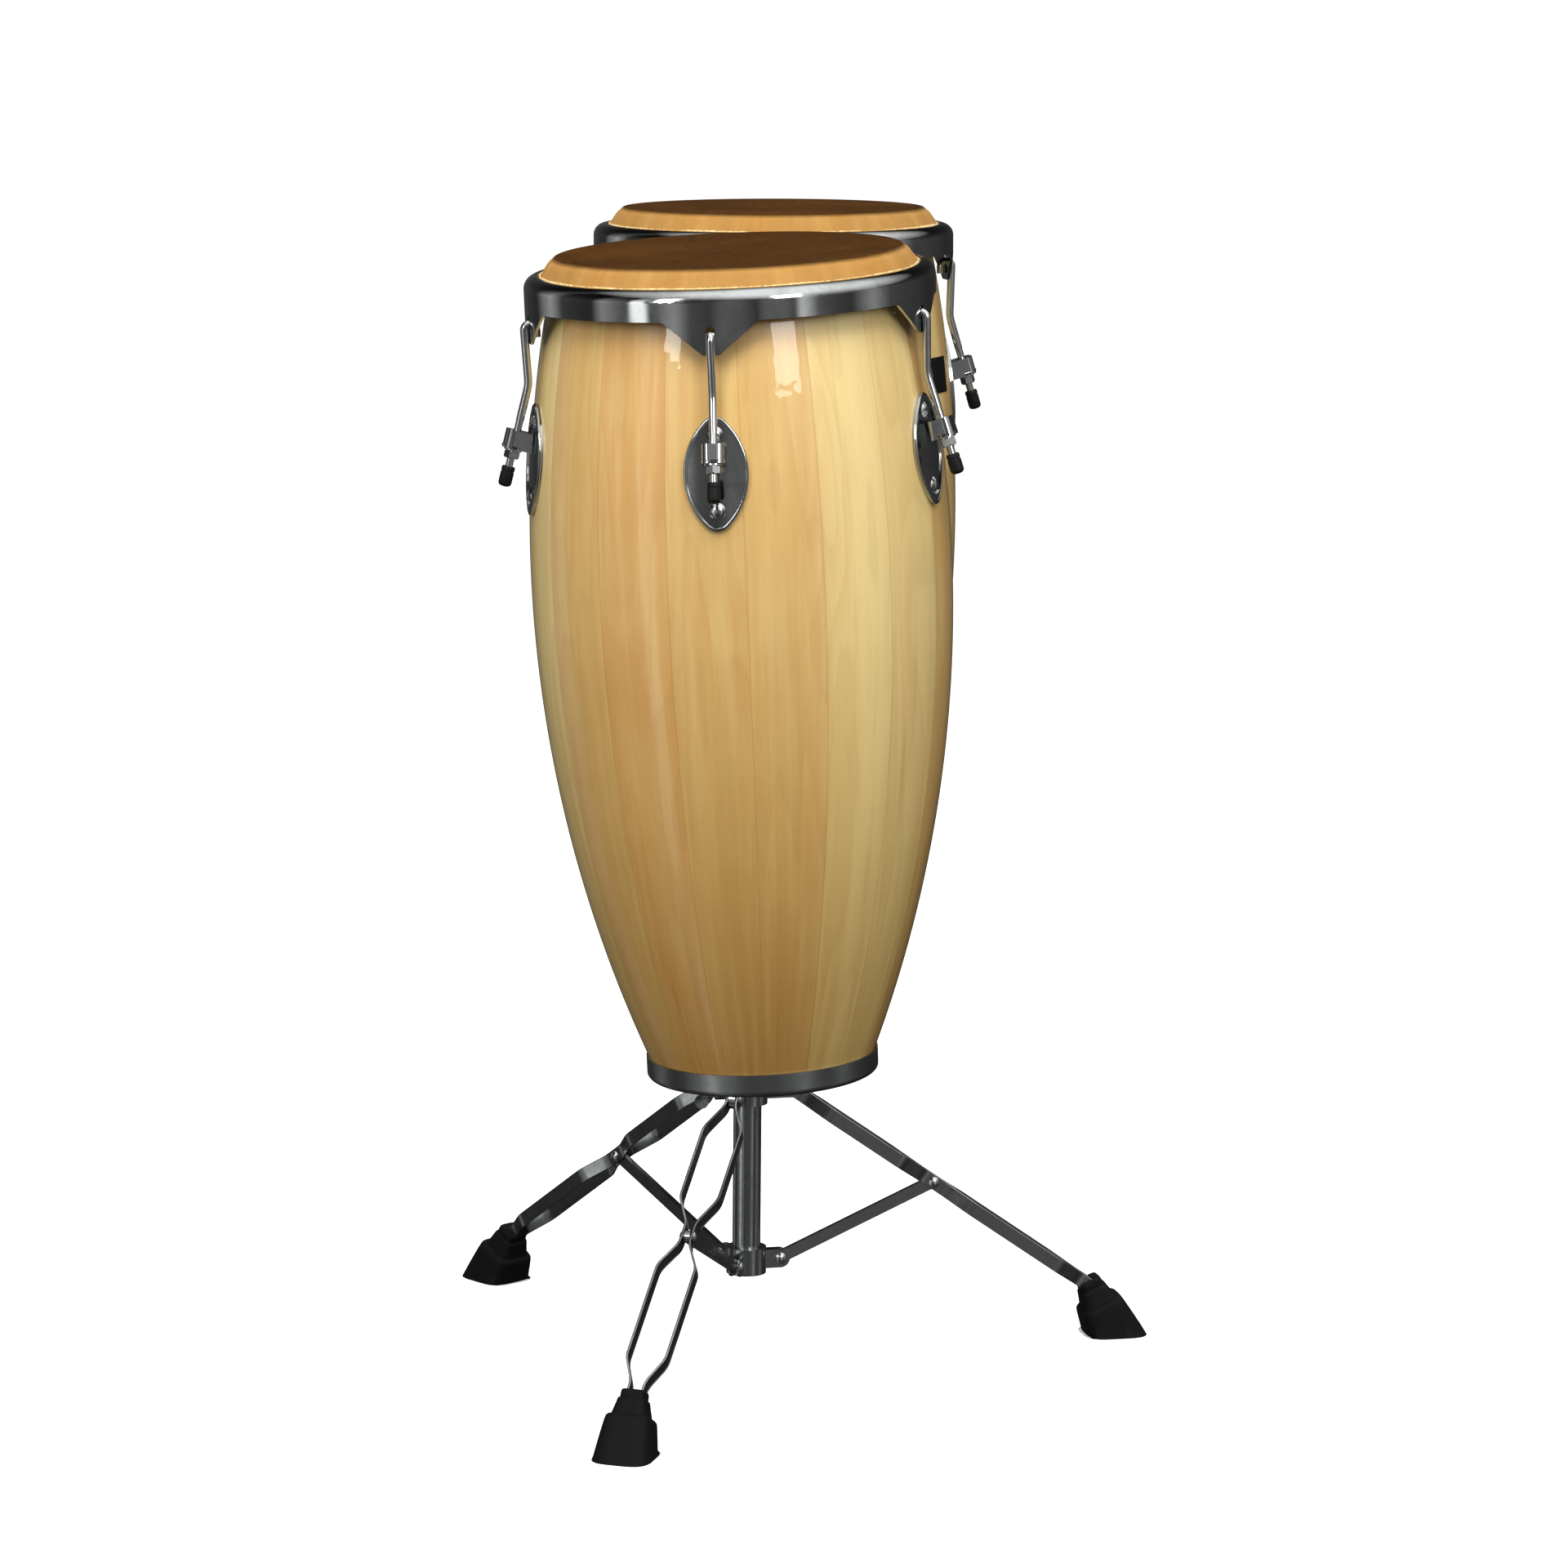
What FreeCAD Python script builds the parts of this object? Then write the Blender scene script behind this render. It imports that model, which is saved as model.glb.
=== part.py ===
import FreeCAD, Part
import math
import os

import Sketcher

# Pair of conga drums on a folding tripod stand.
# Frame: millimetres, +Z up, origin on the floor under the stand's centre post.
# -Y is the player's side: the larger drum stands there, the smaller one behind it.

V = FreeCAD.Vector
UP = V(0, 0, 1)

doc = FreeCAD.newDocument("congas")
sheet = doc.addObject("Spreadsheet::Sheet", "Sheet")

DIMENSIONS = {
    # where the drums hang
    "base_z": 305.4, "front_x": 13.1, "front_y": -183.6, "front_lean_x": -0.0499, "front_lean_y": -0.0022,
    "rear_x": 22.6, "rear_y": 183.8, "rear_lean_x": -0.0084, "rear_lean_y": 0.0397,
    # shells: one circular arc from the foot to the bearing edge
    "shell_high": 709.6, "shell_wall": 11.0, "belly_z": 440.0,
    "front_edge_r": 147.8, "front_foot_r": 91.1, "front_arc_r": 1130.0,
    "rear_edge_r": 136.7, "rear_foot_r": 84.3, "rear_arc_r": 1215.0,
    # foot band
    "band_gap": 9.2, "band_thick": 1.6, "band_high": 18.0, "band_lip": 9.0,
    # skin and flesh hoop
    "skin_thick": 1.8, "skirt_out": 12.4, "skirt_top": 695.6, "skirt_low": 683.0,
    "hoop_in": 8.0, "hoop_out": 10.2, "hoop_low": 683.4, "hoop_high": 689.4,
    # tension rim, as offsets outside the bearing edge and heights above the foot
    "rim_in": 13.0, "rim_out": 26.7, "rim_top": 696.5, "rim_low": 670.5, "rim_thick": 2.5, "rim_round": 10.5,
    "ear_wide": 92.0, "ear_tip": 14.0, "ear_low": 643.0,
    "slot_wide": 7.6, "slot_low": 655.8, "slot_high": 666.5,
    # tuning lugs
    "lug_count": 5, "front_lug_first": -95.3, "rear_lug_first": 13.0,
    "plate_wide": 54.0, "plate_low": 498.0, "plate_high": 592.0, "plate_thick": 2.2, "plate_end_r": 12.5,
    "bead_wide": 2.6, "bead_high": 1.2,
    "bolt_low": 514.5, "bolt_high": 577.5, "bolt_r": 3.0, "bolt_head_r": 7.2, "bolt_head_high": 3.6,
    "badge_turn": -25.5, "badge_wide": 60.0, "badge_high": 32.0, "badge_z": 563.0, "badge_thick": 0.8,
    "hook_r": 3.5, "hook_root_r": 3.2, "hook_bend": 5.2, "hook_top": 654.5, "hook_tail": 648.5,
    "kink_z": 609.0, "kink_in": 1.6, "rod_angle": 16.5, "rod_end_z": 528.0,
    "lug_block_wide": 19.0, "lug_block_high": 16.0, "lug_block_z": 563.0, "lug_block_out": 9.0,
    "lug_hole_r": 4.7,
    "nut_flats": 11.6, "nut_high": 8.0, "washer_r": 7.6, "washer_high": 1.2, "nut_bore_r": 4.2,
    "cap_r": 5.9, "cap_long": 16.0, "flange_r": 10.5, "flange_high": 2.6,
    # stand: post, height tube and cradle
    "post_r": 12.7, "post_wall": 1.5, "post_low": 74.0, "post_top": 440.0, "tube_gap": 0.1,
    "tube_wall": 1.5, "tube_low": 290.0, "cradle_z": 498.0, "cradle_thick": 4.0,
    "cradle_half_x": 68.0, "cradle_front": 25.0, "cradle_back": 41.0,
    "prong_x": 55.0, "prong_front_y": -14.0, "prong_rear_y": 29.0, "prong_r": 6.35, "prong_high": 56.0,
    "socket_r": 10.0, "socket_gap": 0.1, "socket_high": 43.0, "saddle_thick": 3.0, "saddle_low": 506.0,
    "clamp_high": 26.0, "clamp_r": 20.0,
    # tripod
    "leg_first": -107.0, "pivot_r": 40.3, "pivot_z": 243.4, "leg_angle": 35.1, "leg_mid": 161.9,
    "leg_long": 360.0, "low_pivot_r": 30.9, "low_pivot_z": 86.8, "strip_wide": 12.5, "strip_thick": 2.2,
    "pinch": 4.4, "spread": 17.5, "rivet_r": 3.0, "rivet_head_r": 5.2, "rivet_head_high": 2.6,
    "brace_thick": 5.0, "brace_wide": 11.0, "collar_r": 18.0, "collar_high": 24.0, "ear_thick": 6.0,
    "low_ear_thick": 2.2, "fork_half": 2.8, "ear_round": 8.5,
    "foot_r": 345.0, "foot_top_r": 323.8, "foot_top_z": 44.2,
}

for row, (alias, value) in enumerate(DIMENSIONS.items(), start=1):
    sheet.set("A%d" % row, alias)
    sheet.set("B%d" % row, str(value))
    sheet.setAlias("B%d" % row, alias)
doc.recompute()


def size(alias):
    """Value of one driving dimension."""
    return float(getattr(sheet, alias))


def bind(obj, prop, formula):
    """Tie a property to the sheet; formula uses Sheet.alias names."""
    obj.setExpression(prop, formula)


def value_of(formula):
    """Number that a sheet formula gives now."""
    return float(sheet.evalExpression(formula))


def finish_node(obj, label, placement=None):
    """Name a sub-part and put it in its place."""
    obj.Label = label
    if placement is not None:
        obj.Placement = placement.multiply(obj.Placement)
    NODES.append(obj)
    return obj


NODES = []


# ---------------------------------------------------------------- helpers: bodies of revolution

def origin_plane(body, role):
    for feature in body.Origin.OriginFeatures:
        if feature.Role == role:
            return feature
    raise ValueError(role)


def arc_centre(start, end, radius, bulge):
    """Centre of the arc of that radius from start to end; bulge is +1 or -1, the side it bows to."""
    middle = (start + end) * 0.5
    chord = end - start
    across = V(chord.y, -chord.x, 0).normalize()
    depth = math.sqrt(radius ** 2 - (chord.Length / 2) ** 2)
    return middle - across * depth * bulge


def sketch_arc(start, end, radius, bulge):
    """Short arc between two corners, stored anticlockwise as sketches keep it."""
    centre = arc_centre(start, end, radius, bulge)
    angles = [math.atan2(corner.y - centre.y, corner.x - centre.x) for corner in (start, end)]
    first, last = angles
    turn = (last - first) % (2 * math.pi)
    if turn > math.pi:
        first, turn = last, 2 * math.pi - turn
    return Part.ArcOfCircle(Part.Circle(centre, UP, radius), first, first + turn)


def turned_body(name, outline):
    """Solid of revolution about Z. Outline steps are (radius, height) or (radius, height, arc radius, bulge),
    all sheet formulas, where the arc is the edge that leaves the corner."""
    body = doc.addObject("PartDesign::Body", name)
    sketch = body.newObject("Sketcher::SketchObject", name + "_outline")
    sketch.AttachmentSupport = (origin_plane(body, "XZ_Plane"), "")
    sketch.MapMode = "FlatFace"
    corners = [V(value_of(step[0]), value_of(step[1]), 0) for step in outline]
    count = len(corners)
    for index, step in enumerate(outline):
        start = corners[index]
        end = corners[(index + 1) % count]
        if len(step) == 2:
            sketch.addGeometry(Part.LineSegment(start, end), False)
        else:
            sketch.addGeometry(sketch_arc(start, end, value_of(step[2]), step[3]), False)
    tie_outline(sketch, outline, corners)
    turn = body.newObject("PartDesign::Revolution", name + "_turned")
    turn.Profile = sketch
    turn.ReferenceAxis = (sketch, ["V_Axis"])
    turn.Angle = 360.0
    return body


def arc_ends(sketch, index, start):
    """Sketcher point numbers of the start and end corner; an arc can be stored the other way round."""
    geometry = sketch.Geometry[index]
    if geometry.StartPoint.distanceToPoint(start) < 1e-4:
        return 1, 2
    return 2, 1


def tie_outline(sketch, outline, corners):
    """Join the edges of an outline and bind its corners and arcs to the sheet."""
    count = len(outline)
    ends = [arc_ends(sketch, index, corners[index]) for index in range(count)]
    for index in range(count):
        after = (index + 1) % count
        sketch.addConstraint(Sketcher.Constraint("Coincident", index, ends[index][1], after, ends[after][0]))
    for index, step in enumerate(outline):
        start = ends[index][0]
        if abs(corners[index].x) < 1e-9:
            sketch.addConstraint(Sketcher.Constraint("PointOnObject", index, start, -2))
        else:
            across = sketch.addConstraint(
                Sketcher.Constraint("DistanceX", -1, 1, index, start, corners[index].x))
            sketch.setExpression("Constraints[%d]" % across, step[0])
        if abs(corners[index].y) < 1e-9:
            sketch.addConstraint(Sketcher.Constraint("PointOnObject", index, start, -1))
        else:
            height = sketch.addConstraint(
                Sketcher.Constraint("DistanceY", -1, 1, index, start, corners[index].y))
            sketch.setExpression("Constraints[%d]" % height, step[1])
        if len(step) == 4:
            bow = sketch.addConstraint(Sketcher.Constraint("Radius", index, value_of(step[2])))
            sketch.setExpression("Constraints[%d]" % bow, step[2])


# ---------------------------------------------------------------- helpers: plain shapes

def rod(radius, start, end):
    """Round bar between two points."""
    along = end - start
    return Part.makeCylinder(radius, along.Length, start, along)


def block(size_x, size_y, size_z, centre):
    """Box about a centre."""
    return Part.makeBox(size_x, size_y, size_z, centre - V(size_x, size_y, size_z) * 0.5)


def dome(radius, high, base, direction):
    """Shallow spherical rivet or bolt head that stands on base."""
    ball_r = (radius ** 2 + high ** 2) / (2 * high)
    ball = Part.makeSphere(ball_r)
    keep = Part.makeCylinder(radius * 1.2, high * 2, V(0, 0, ball_r - high))
    head = ball.common(keep)
    head.translate(V(0, 0, high - ball_r))
    head.Placement = FreeCAD.Placement(base, FreeCAD.Rotation(UP, direction)).multiply(head.Placement)
    return head


def prism(points, direction):
    """Straight extrusion of a closed polygon."""
    return Part.Face(Part.makePolygon(points + [points[0]])).extrude(direction)


def turned_copies(shape, angles):
    """Copies of a shape turned about Z."""
    copies = []
    for angle in angles:
        copy = shape.copy()
        copy.rotate(V(0, 0, 0), UP, angle)
        copies.append(copy)
    return copies


def feature(name, shapes):
    """Document object that holds one solid or a group of separate solids."""
    obj = doc.addObject("Part::Feature", name)
    if isinstance(shapes, list):
        obj.Shape = Part.makeCompound(shapes)
    else:
        obj.Shape = shapes
    return obj


# ---------------------------------------------------------------- drums

def drum_placement(drum):
    """Where a drum hangs: its foot centre, and its axis a few degrees off plumb."""
    axis = V(size(drum + "_lean_x"), size(drum + "_lean_y"), 1)
    foot = V(size(drum + "_x"), size(drum + "_y"), size("base_z"))
    return FreeCAD.Placement(foot, FreeCAD.Rotation(UP, axis))


def lug_angles(drum):
    step = 360.0 / size("lug_count")
    return [size(drum + "_lug_first") + step * index for index in range(int(size("lug_count")))]


def shell_radius(drum, height):
    """Outer radius of the shell at a height above its foot."""
    start = V(size(drum + "_foot_r"), 0, 0)
    end = V(size(drum + "_edge_r"), size("shell_high") - 3, 0)
    centre = arc_centre(start, end, size(drum + "_arc_r"), 1)
    return centre.x + math.sqrt(size(drum + "_arc_r") ** 2 - (height - centre.y) ** 2)


def turned_skin(drum, low, high, inner_offset, outer_offset):
    """Layer of a drum's outside between two heights and two offsets from its surface."""
    edges = []
    corners = []
    for offset in (inner_offset, outer_offset):
        heights = (low, (low + high) / 2, high)
        corners.append([V(shell_radius(drum, z) + offset, 0, z) for z in heights])
    inside, outside = corners
    edges.append(Part.Arc(*inside).toShape())
    edges.append(Part.LineSegment(inside[2], outside[2]).toShape())
    edges.append(Part.Arc(*outside).toShape())
    edges.append(Part.LineSegment(outside[0], inside[0]).toShape())
    return Part.Face(Part.Wire(Part.__sortEdges__(edges))).revolve(V(0, 0, 0), UP, 360)


def leaf(width, low, high, reach):
    """Pointed oval with small round ends: two side arcs tangent to two end arcs, extruded along X."""
    middle = (low + high) / 2
    half = width / 2
    tall = (high - low) / 2
    end_r = size("plate_end_r")
    side_r = (half ** 2 - end_r ** 2 + (tall - end_r) ** 2) / (2 * (half - end_r))
    lean = math.asin((tall - end_r) / (side_r - end_r))
    join = V(0, end_r * math.cos(lean), tall - end_r + end_r * math.sin(lean))

    def corner(right, up):
        return V(0, join.y * right, middle + join.z * up)

    edges = [Part.Arc(corner(1, -1), V(0, half, middle), corner(1, 1)).toShape(),
             Part.Arc(corner(1, 1), V(0, 0, high), corner(-1, 1)).toShape(),
             Part.Arc(corner(-1, 1), V(0, -half, middle), corner(-1, -1)).toShape(),
             Part.Arc(corner(-1, -1), V(0, 0, low), corner(1, -1)).toShape()]
    return Part.Face(Part.Wire(edges)).extrude(V(reach, 0, 0))


def shell_blank(drum):
    edge = "Sheet.%s_edge_r" % drum
    foot = "Sheet.%s_foot_r" % drum
    arc = "Sheet.%s_arc_r" % drum
    wall = "Sheet.shell_wall"
    outline = [
        (foot + " - " + wall, "0"),
        (foot, "0", arc, 1),
        (edge, "Sheet.shell_high - 3"),
        (edge + " - 3", "Sheet.shell_high"),
        (edge + " - " + wall, "Sheet.shell_high - 1", arc + " - " + wall, -1),
    ]
    return turned_body(drum + "_shell_blank", outline)


def lug_bolt(drum, height):
    """Carriage bolt through the side plate and the shell, with its nut inside, in the lug's own plane."""
    out = shell_radius(drum, height) + size("plate_thick")
    inside = shell_radius(drum, height) - size("shell_wall") - 3.0
    shank = rod(size("bolt_r"), V(inside - 6, 0, height), V(out, 0, height))
    head = dome(size("bolt_head_r"), size("bolt_head_high"), V(out, 0, height), V(1, 0, 0))
    nut = rod(5.5, V(inside - 4, 0, height), V(inside, 0, height))
    return shank.fuse([head, nut]).removeSplitter()


def rod_point(drum, height):
    """Centre of the tuning rod's straight lower run at a height, in the lug's plane."""
    wall = size(drum + "_edge_r") + size("rim_out") - size("rim_thick") / 2
    kink = wall + size("hook_bend") - size("kink_in")
    return V(kink + (size("kink_z") - height) * math.tan(math.radians(size("rod_angle"))), 0, height)


def rod_direction():
    """Unit vector down the rod's lower run."""
    angle = math.radians(size("rod_angle"))
    return V(math.sin(angle), 0, -math.cos(angle))


def lug_block_shape(drum):
    """Block on the side plate that the rod passes through, square to the rod."""
    at_rod = rod_point(drum, size("lug_block_z"))
    wide = size("lug_block_wide")
    high = size("lug_block_high")
    reach = at_rod.x - shell_radius(drum, size("lug_block_z")) + 6
    solid = Part.makeBox(reach + size("lug_block_out"), wide, high, V(-reach, -wide / 2, -high / 2))
    upright = [edge for edge in solid.Edges
               if abs(edge.tangentAt(edge.FirstParameter).z) > 0.9 and edge.CenterOfMass.x > 0]
    solid = solid.makeFillet(6.0, upright)
    rim = Part.makeCone(size("flange_r") - 1.0, size("flange_r"), size("flange_high"), V(0, 0, -high / 2))
    solid = solid.fuse(rim).removeSplitter()
    solid.rotate(V(0, 0, 0), V(0, 1, 0), -size("rod_angle"))
    solid.translate(at_rod)
    return solid


def make_shell(drum):
    blank = shell_blank(drum)
    holes = []
    for height in (size("bolt_low"), size("bolt_high")):
        out = shell_radius(drum, height)
        hole = rod(size("bolt_r"), V(out - 25, 0, height), V(out + 5, 0, height))
        holes += turned_copies(hole, lug_angles(drum))
    for bolt in saddle_bolt_axes(drum):
        holes.append(rod(size("bolt_r"), bolt[0] - bolt[1] * 25, bolt[0] + bolt[1] * 5))
    drills = feature(drum + "_bolt_holes", holes)
    cut = doc.addObject("Part::Cut", drum + "_shell")
    cut.Base = blank
    cut.Tool = drills
    finish_node(cut, drum + "_shell", drum_placement(drum))


def make_foot_band(drum):
    foot = "Sheet.%s_foot_r" % drum
    outline = [
        (foot + " + Sheet.band_gap - Sheet.band_thick", "Sheet.band_high"),
        (foot + " + Sheet.band_gap - Sheet.band_thick", "-0.2"),
        (foot + " - Sheet.band_lip", "-0.2"),
        (foot + " - Sheet.band_lip", "-0.2 - Sheet.band_thick"),
        (foot + " + Sheet.band_gap - 5", "-0.2 - Sheet.band_thick", "5", 1),
        (foot + " + Sheet.band_gap", "4.8 - Sheet.band_thick"),
        (foot + " + Sheet.band_gap", "Sheet.band_high"),
    ]
    body = turned_body(drum + "_foot_band_body", outline)
    finish_node(body, drum + "_foot_band", drum_placement(drum))


def make_skin(drum):
    edge = "Sheet.%s_edge_r" % drum
    top = "Sheet.shell_high + Sheet.skin_thick"
    outline = [
        ("0", "Sheet.shell_high"),
        (edge, "Sheet.shell_high"),
        (edge + " + Sheet.skirt_out - 2.2", "Sheet.skirt_top - 0.8"),
        (edge + " + Sheet.skirt_out - 1.8", "Sheet.skirt_low"),
        (edge + " + Sheet.skirt_out", "Sheet.skirt_low"),
        (edge + " + Sheet.skirt_out", "Sheet.skirt_top"),
        (edge + " + 0.6", top),
        ("0", top),
    ]
    body = turned_body(drum + "_skin_body", outline)
    finish_node(body, drum + "_head_skin", drum_placement(drum))


def make_flesh_hoop(drum):
    edge = "Sheet.%s_edge_r" % drum
    outline = [
        (edge + " + Sheet.hoop_in", "Sheet.hoop_low"),
        (edge + " + Sheet.hoop_out", "Sheet.hoop_low"),
        (edge + " + Sheet.hoop_out", "Sheet.hoop_high"),
        (edge + " + Sheet.hoop_in", "Sheet.hoop_high"),
    ]
    body = turned_body(drum + "_flesh_hoop_body", outline)
    finish_node(body, drum + "_flesh_hoop", drum_placement(drum))


def rim_blank(drum):
    edge = "Sheet.%s_edge_r" % drum
    out = edge + " + Sheet.rim_out"
    thick = "Sheet.rim_thick"
    top = "Sheet.rim_top"
    bend = "Sheet.rim_round"
    outline = [
        (edge + " + Sheet.rim_in", top + " - " + thick),
        (out + " - " + bend, top + " - " + thick, bend + " - " + thick, -1),
        (out + " - " + thick, top + " - " + bend),
        (out + " - " + thick, "Sheet.rim_low"),
        (out, "Sheet.rim_low"),
        (out, top + " - " + bend, bend, 1),
        (out + " - " + bend, top),
        (edge + " + Sheet.rim_in + 1.5", top),
    ]
    return turned_body(drum + "_rim_blank", outline)


def rim_ear(drum):
    """Drop-shaped ear under the rim, on the rim's own cylinder, in the +X lug plane."""
    out = size(drum + "_edge_r") + size("rim_out")
    low = size("ear_low")
    high = size("rim_low") + 1.0
    band = Part.makeCylinder(out, high - low, V(0, 0, low))
    band = band.cut(Part.makeCylinder(out - size("rim_thick"), high - low, V(0, 0, low)))
    half = size("ear_wide") / 2
    tip = size("ear_tip") / 2
    drop = high - low
    points = [(-half, high), (-half * 0.85, high - drop * 0.07), (-tip * 1.3, low + drop * 0.06), (-tip, low),
              (tip, low), (tip * 1.3, low + drop * 0.06), (half * 0.85, high - drop * 0.07), (half, high)]
    trapezoid = prism([V(out * 0.6, y, z) for y, z in points], V(out, 0, 0))
    return band.common(trapezoid)


def keyhole(drum):
    """Upright slot through the ear that the hook hangs in."""
    out = size(drum + "_edge_r") + size("rim_out")
    half = size("slot_wide") / 2
    low = size("slot_low") + half
    high = size("slot_high") - half
    slot = block(30, 2 * half, high - low, V(out, 0, (low + high) / 2))
    ends = [rod(half, V(out - 15, 0, z), V(out + 15, 0, z)) for z in (low, high)]
    return slot.fuse(ends)


def make_rim(drum):
    blank = rim_blank(drum)
    ears = feature(drum + "_rim_ears", turned_copies(rim_ear(drum), lug_angles(drum)))
    slots = feature(drum + "_rim_slots", turned_copies(keyhole(drum), lug_angles(drum)))
    joined = doc.addObject("Part::MultiFuse", drum + "_rim_with_ears")
    joined.Shapes = [blank, ears]
    joined.Refine = True
    cut = doc.addObject("Part::Cut", drum + "_rim")
    cut.Base = joined
    cut.Tool = slots
    finish_node(cut, drum + "_tension_rim", drum_placement(drum))


def side_plate(drum):
    """Pointed oval plate that follows the shell, with a raised bead at its edge and the lug block on it."""
    low = size("plate_low")
    high = size("plate_high")
    thick = size("plate_thick")
    bead = size("bead_wide")
    reach = size(drum + "_edge_r") + 100
    outer_leaf = leaf(size("plate_wide"), low, high, reach)
    inner_leaf = leaf(size("plate_wide") - 2 * bead, low + 3 * bead, high - 3 * bead, reach)
    sheet_metal = turned_skin(drum, low - 5, high + 5, 0.0, thick).common(outer_leaf)
    raised = turned_skin(drum, low - 5, high + 5, 0.5, thick + size("bead_high"))
    raised = raised.common(outer_leaf.cut(inner_leaf))
    eye = lug_block_shape(drum).cut(turned_skin(drum, low - 5, high + 5, -30.0, 0.5))
    plate = sheet_metal.fuse([raised, eye]).removeSplitter()
    down = rod_direction()
    at_rod = rod_point(drum, size("lug_block_z"))
    plate = plate.cut(rod(size("lug_hole_r"), at_rod - down * 40, at_rod + down * 40))
    for height in (size("bolt_low"), size("bolt_high")):
        out = shell_radius(drum, height)
        plate = plate.cut(rod(size("bolt_r"), V(out - 25, 0, height), V(out + 5, 0, height)))
        seat = V(out + thick, 0, height)
        plate = plate.cut(rod(size("bolt_head_r") + 0.1, seat, seat + V(20, 0, 0)))
    return plate


def make_side_plates(drum):
    plates = turned_copies(side_plate(drum), lug_angles(drum))
    finish_node(feature(drum + "_side_plates", plates), drum + "_side_plates", drum_placement(drum))


def make_plate_bolts(drum):
    bolts = []
    for height in (size("bolt_low"), size("bolt_high")):
        bolts += turned_copies(lug_bolt(drum, height), lug_angles(drum))
    finish_node(feature(drum + "_plate_bolts", bolts), drum + "_plate_bolts", drum_placement(drum))


def hook_shape(drum):
    """J hook: tail inside the ear, over the slot, down outside it to the kink, then the threaded run."""
    wall = size(drum + "_edge_r") + size("rim_out") - size("rim_thick") / 2
    bend = size("hook_bend")
    top = size("hook_top")
    tail = V(wall - bend, 0, size("hook_tail"))
    inner = V(wall - bend, 0, top)
    crest = V(wall, 0, top + bend)
    outer = V(wall + bend, 0, top)
    kink = V(wall + bend - size("kink_in"), 0, size("kink_z"))
    down = rod_direction()
    along = (outer - kink).normalize()
    before = kink + along * 5
    after = kink + down * 5
    quarter = math.acos(-(along * down)) / 4
    turn = kink + (along + down).normalize() * 5 * math.tan(quarter)
    thread_start = rod_point(drum, size("lug_block_z") + size("lug_block_high"))
    edges = [Part.LineSegment(tail, inner).toShape(), Part.Arc(inner, crest, outer).toShape(),
             Part.LineSegment(outer, before).toShape(), Part.Arc(before, turn, after).toShape(),
             Part.LineSegment(after, thread_start).toShape()]
    path = Part.Wire(edges)
    section = Part.Wire(Part.makeCircle(size("hook_r"), tail, UP))
    upper = path.makePipeShell([section], True, False, 0)
    thread = rod(size("hook_root_r"), thread_start, rod_point(drum, size("rod_end_z")))
    return upper.fuse(thread).removeSplitter()


def nut_point(drum):
    """Centre of a tuning nut, close under its lug block."""
    under = size("lug_block_high") / 2 + 0.2 + size("nut_high") / 2
    return rod_point(drum, size("lug_block_z")) + rod_direction() * under


def nut_shape(drum):
    down = rod_direction()
    corner_r = size("nut_flats") / math.sqrt(3)
    points = [V(corner_r * math.cos(math.radians(60 * k)), corner_r * math.sin(math.radians(60 * k)), 0)
              for k in range(6)]
    high = size("nut_high")
    washer = size("washer_high")
    nut = prism(points, V(0, 0, high - washer))
    nut = nut.common(Part.makeCone(size("nut_flats") / 2 - 0.2, size("nut_flats") / 2 + 6, 6.2))
    nut = nut.fuse(Part.makeCylinder(size("washer_r"), washer, V(0, 0, high - washer))).removeSplitter()
    nut = nut.cut(Part.makeCylinder(size("nut_bore_r"), high * 3, V(0, 0, -high)))
    nut.translate(V(0, 0, -high / 2))
    seat = FreeCAD.Placement(nut_point(drum), FreeCAD.Rotation(UP, down * -1))
    nut.Placement = seat.multiply(nut.Placement)
    return nut


def cap_shape(drum):
    """Rubber cap pressed on the end of the rod."""
    down = rod_direction()
    end = rod_point(drum, size("rod_end_z"))
    start = end - down * (size("cap_long") - 4)
    body = rod(size("cap_r"), start, end + down * 1.0)
    body = body.fuse(dome(size("cap_r"), 3.5, end + down * 1.0, down)).removeSplitter()
    return body.cut(rod(size("hook_root_r"), start - down * 5, end))


def make_badge(drum):
    """Blank black name plate, curved to the shell."""
    low = size("badge_z") - size("badge_high") / 2
    high = size("badge_z") + size("badge_high") / 2
    layer = turned_skin(drum, low - 5, high + 5, 0.0, size("badge_thick"))
    window = block(100, size("badge_wide"), high - low, V(size(drum + "_edge_r") + 30, 0, size("badge_z")))
    plate = turned_copies(layer.common(window), [size("badge_turn")])[0]
    finish_node(feature(drum + "_badge_shape", plate), drum + "_blank_badge", drum_placement(drum))


def make_hooks(drum):
    hooks = turned_copies(hook_shape(drum), lug_angles(drum))
    finish_node(feature(drum + "_tuning_hooks", hooks), drum + "_tuning_hooks", drum_placement(drum))
    caps = turned_copies(cap_shape(drum), lug_angles(drum))
    finish_node(feature(drum + "_hook_caps", caps), drum + "_hook_caps", drum_placement(drum))


def make_nuts(drum):
    for number, nut in enumerate(turned_copies(nut_shape(drum), lug_angles(drum)), start=1):
        label = "%s_tuning_nut_%d" % (drum, number)
        finish_node(feature(label, nut), label, drum_placement(drum))


# ---------------------------------------------------------------- mounting saddles on the shells

def saddle_side(drum):
    """-1 for the drum on the -Y side, +1 for the one on the +Y side."""
    return -1 if size(drum + "_y") < 0 else 1


def saddle_bolt_axes(drum):
    """Bolt places and outward directions of a mounting saddle, in the drum's own frame."""
    inverse = drum_placement(drum).inverse()
    axes = []
    for x in (-22.0, 22.0):
        world = V(x, 0, size("saddle_low") + 28.0)
        local = inverse.multVec(world)
        height = local.z
        outward = V(local.x, local.y, 0).normalize()
        axes.append((outward * shell_radius(drum, height) + V(0, 0, height), outward))
    return axes


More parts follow.
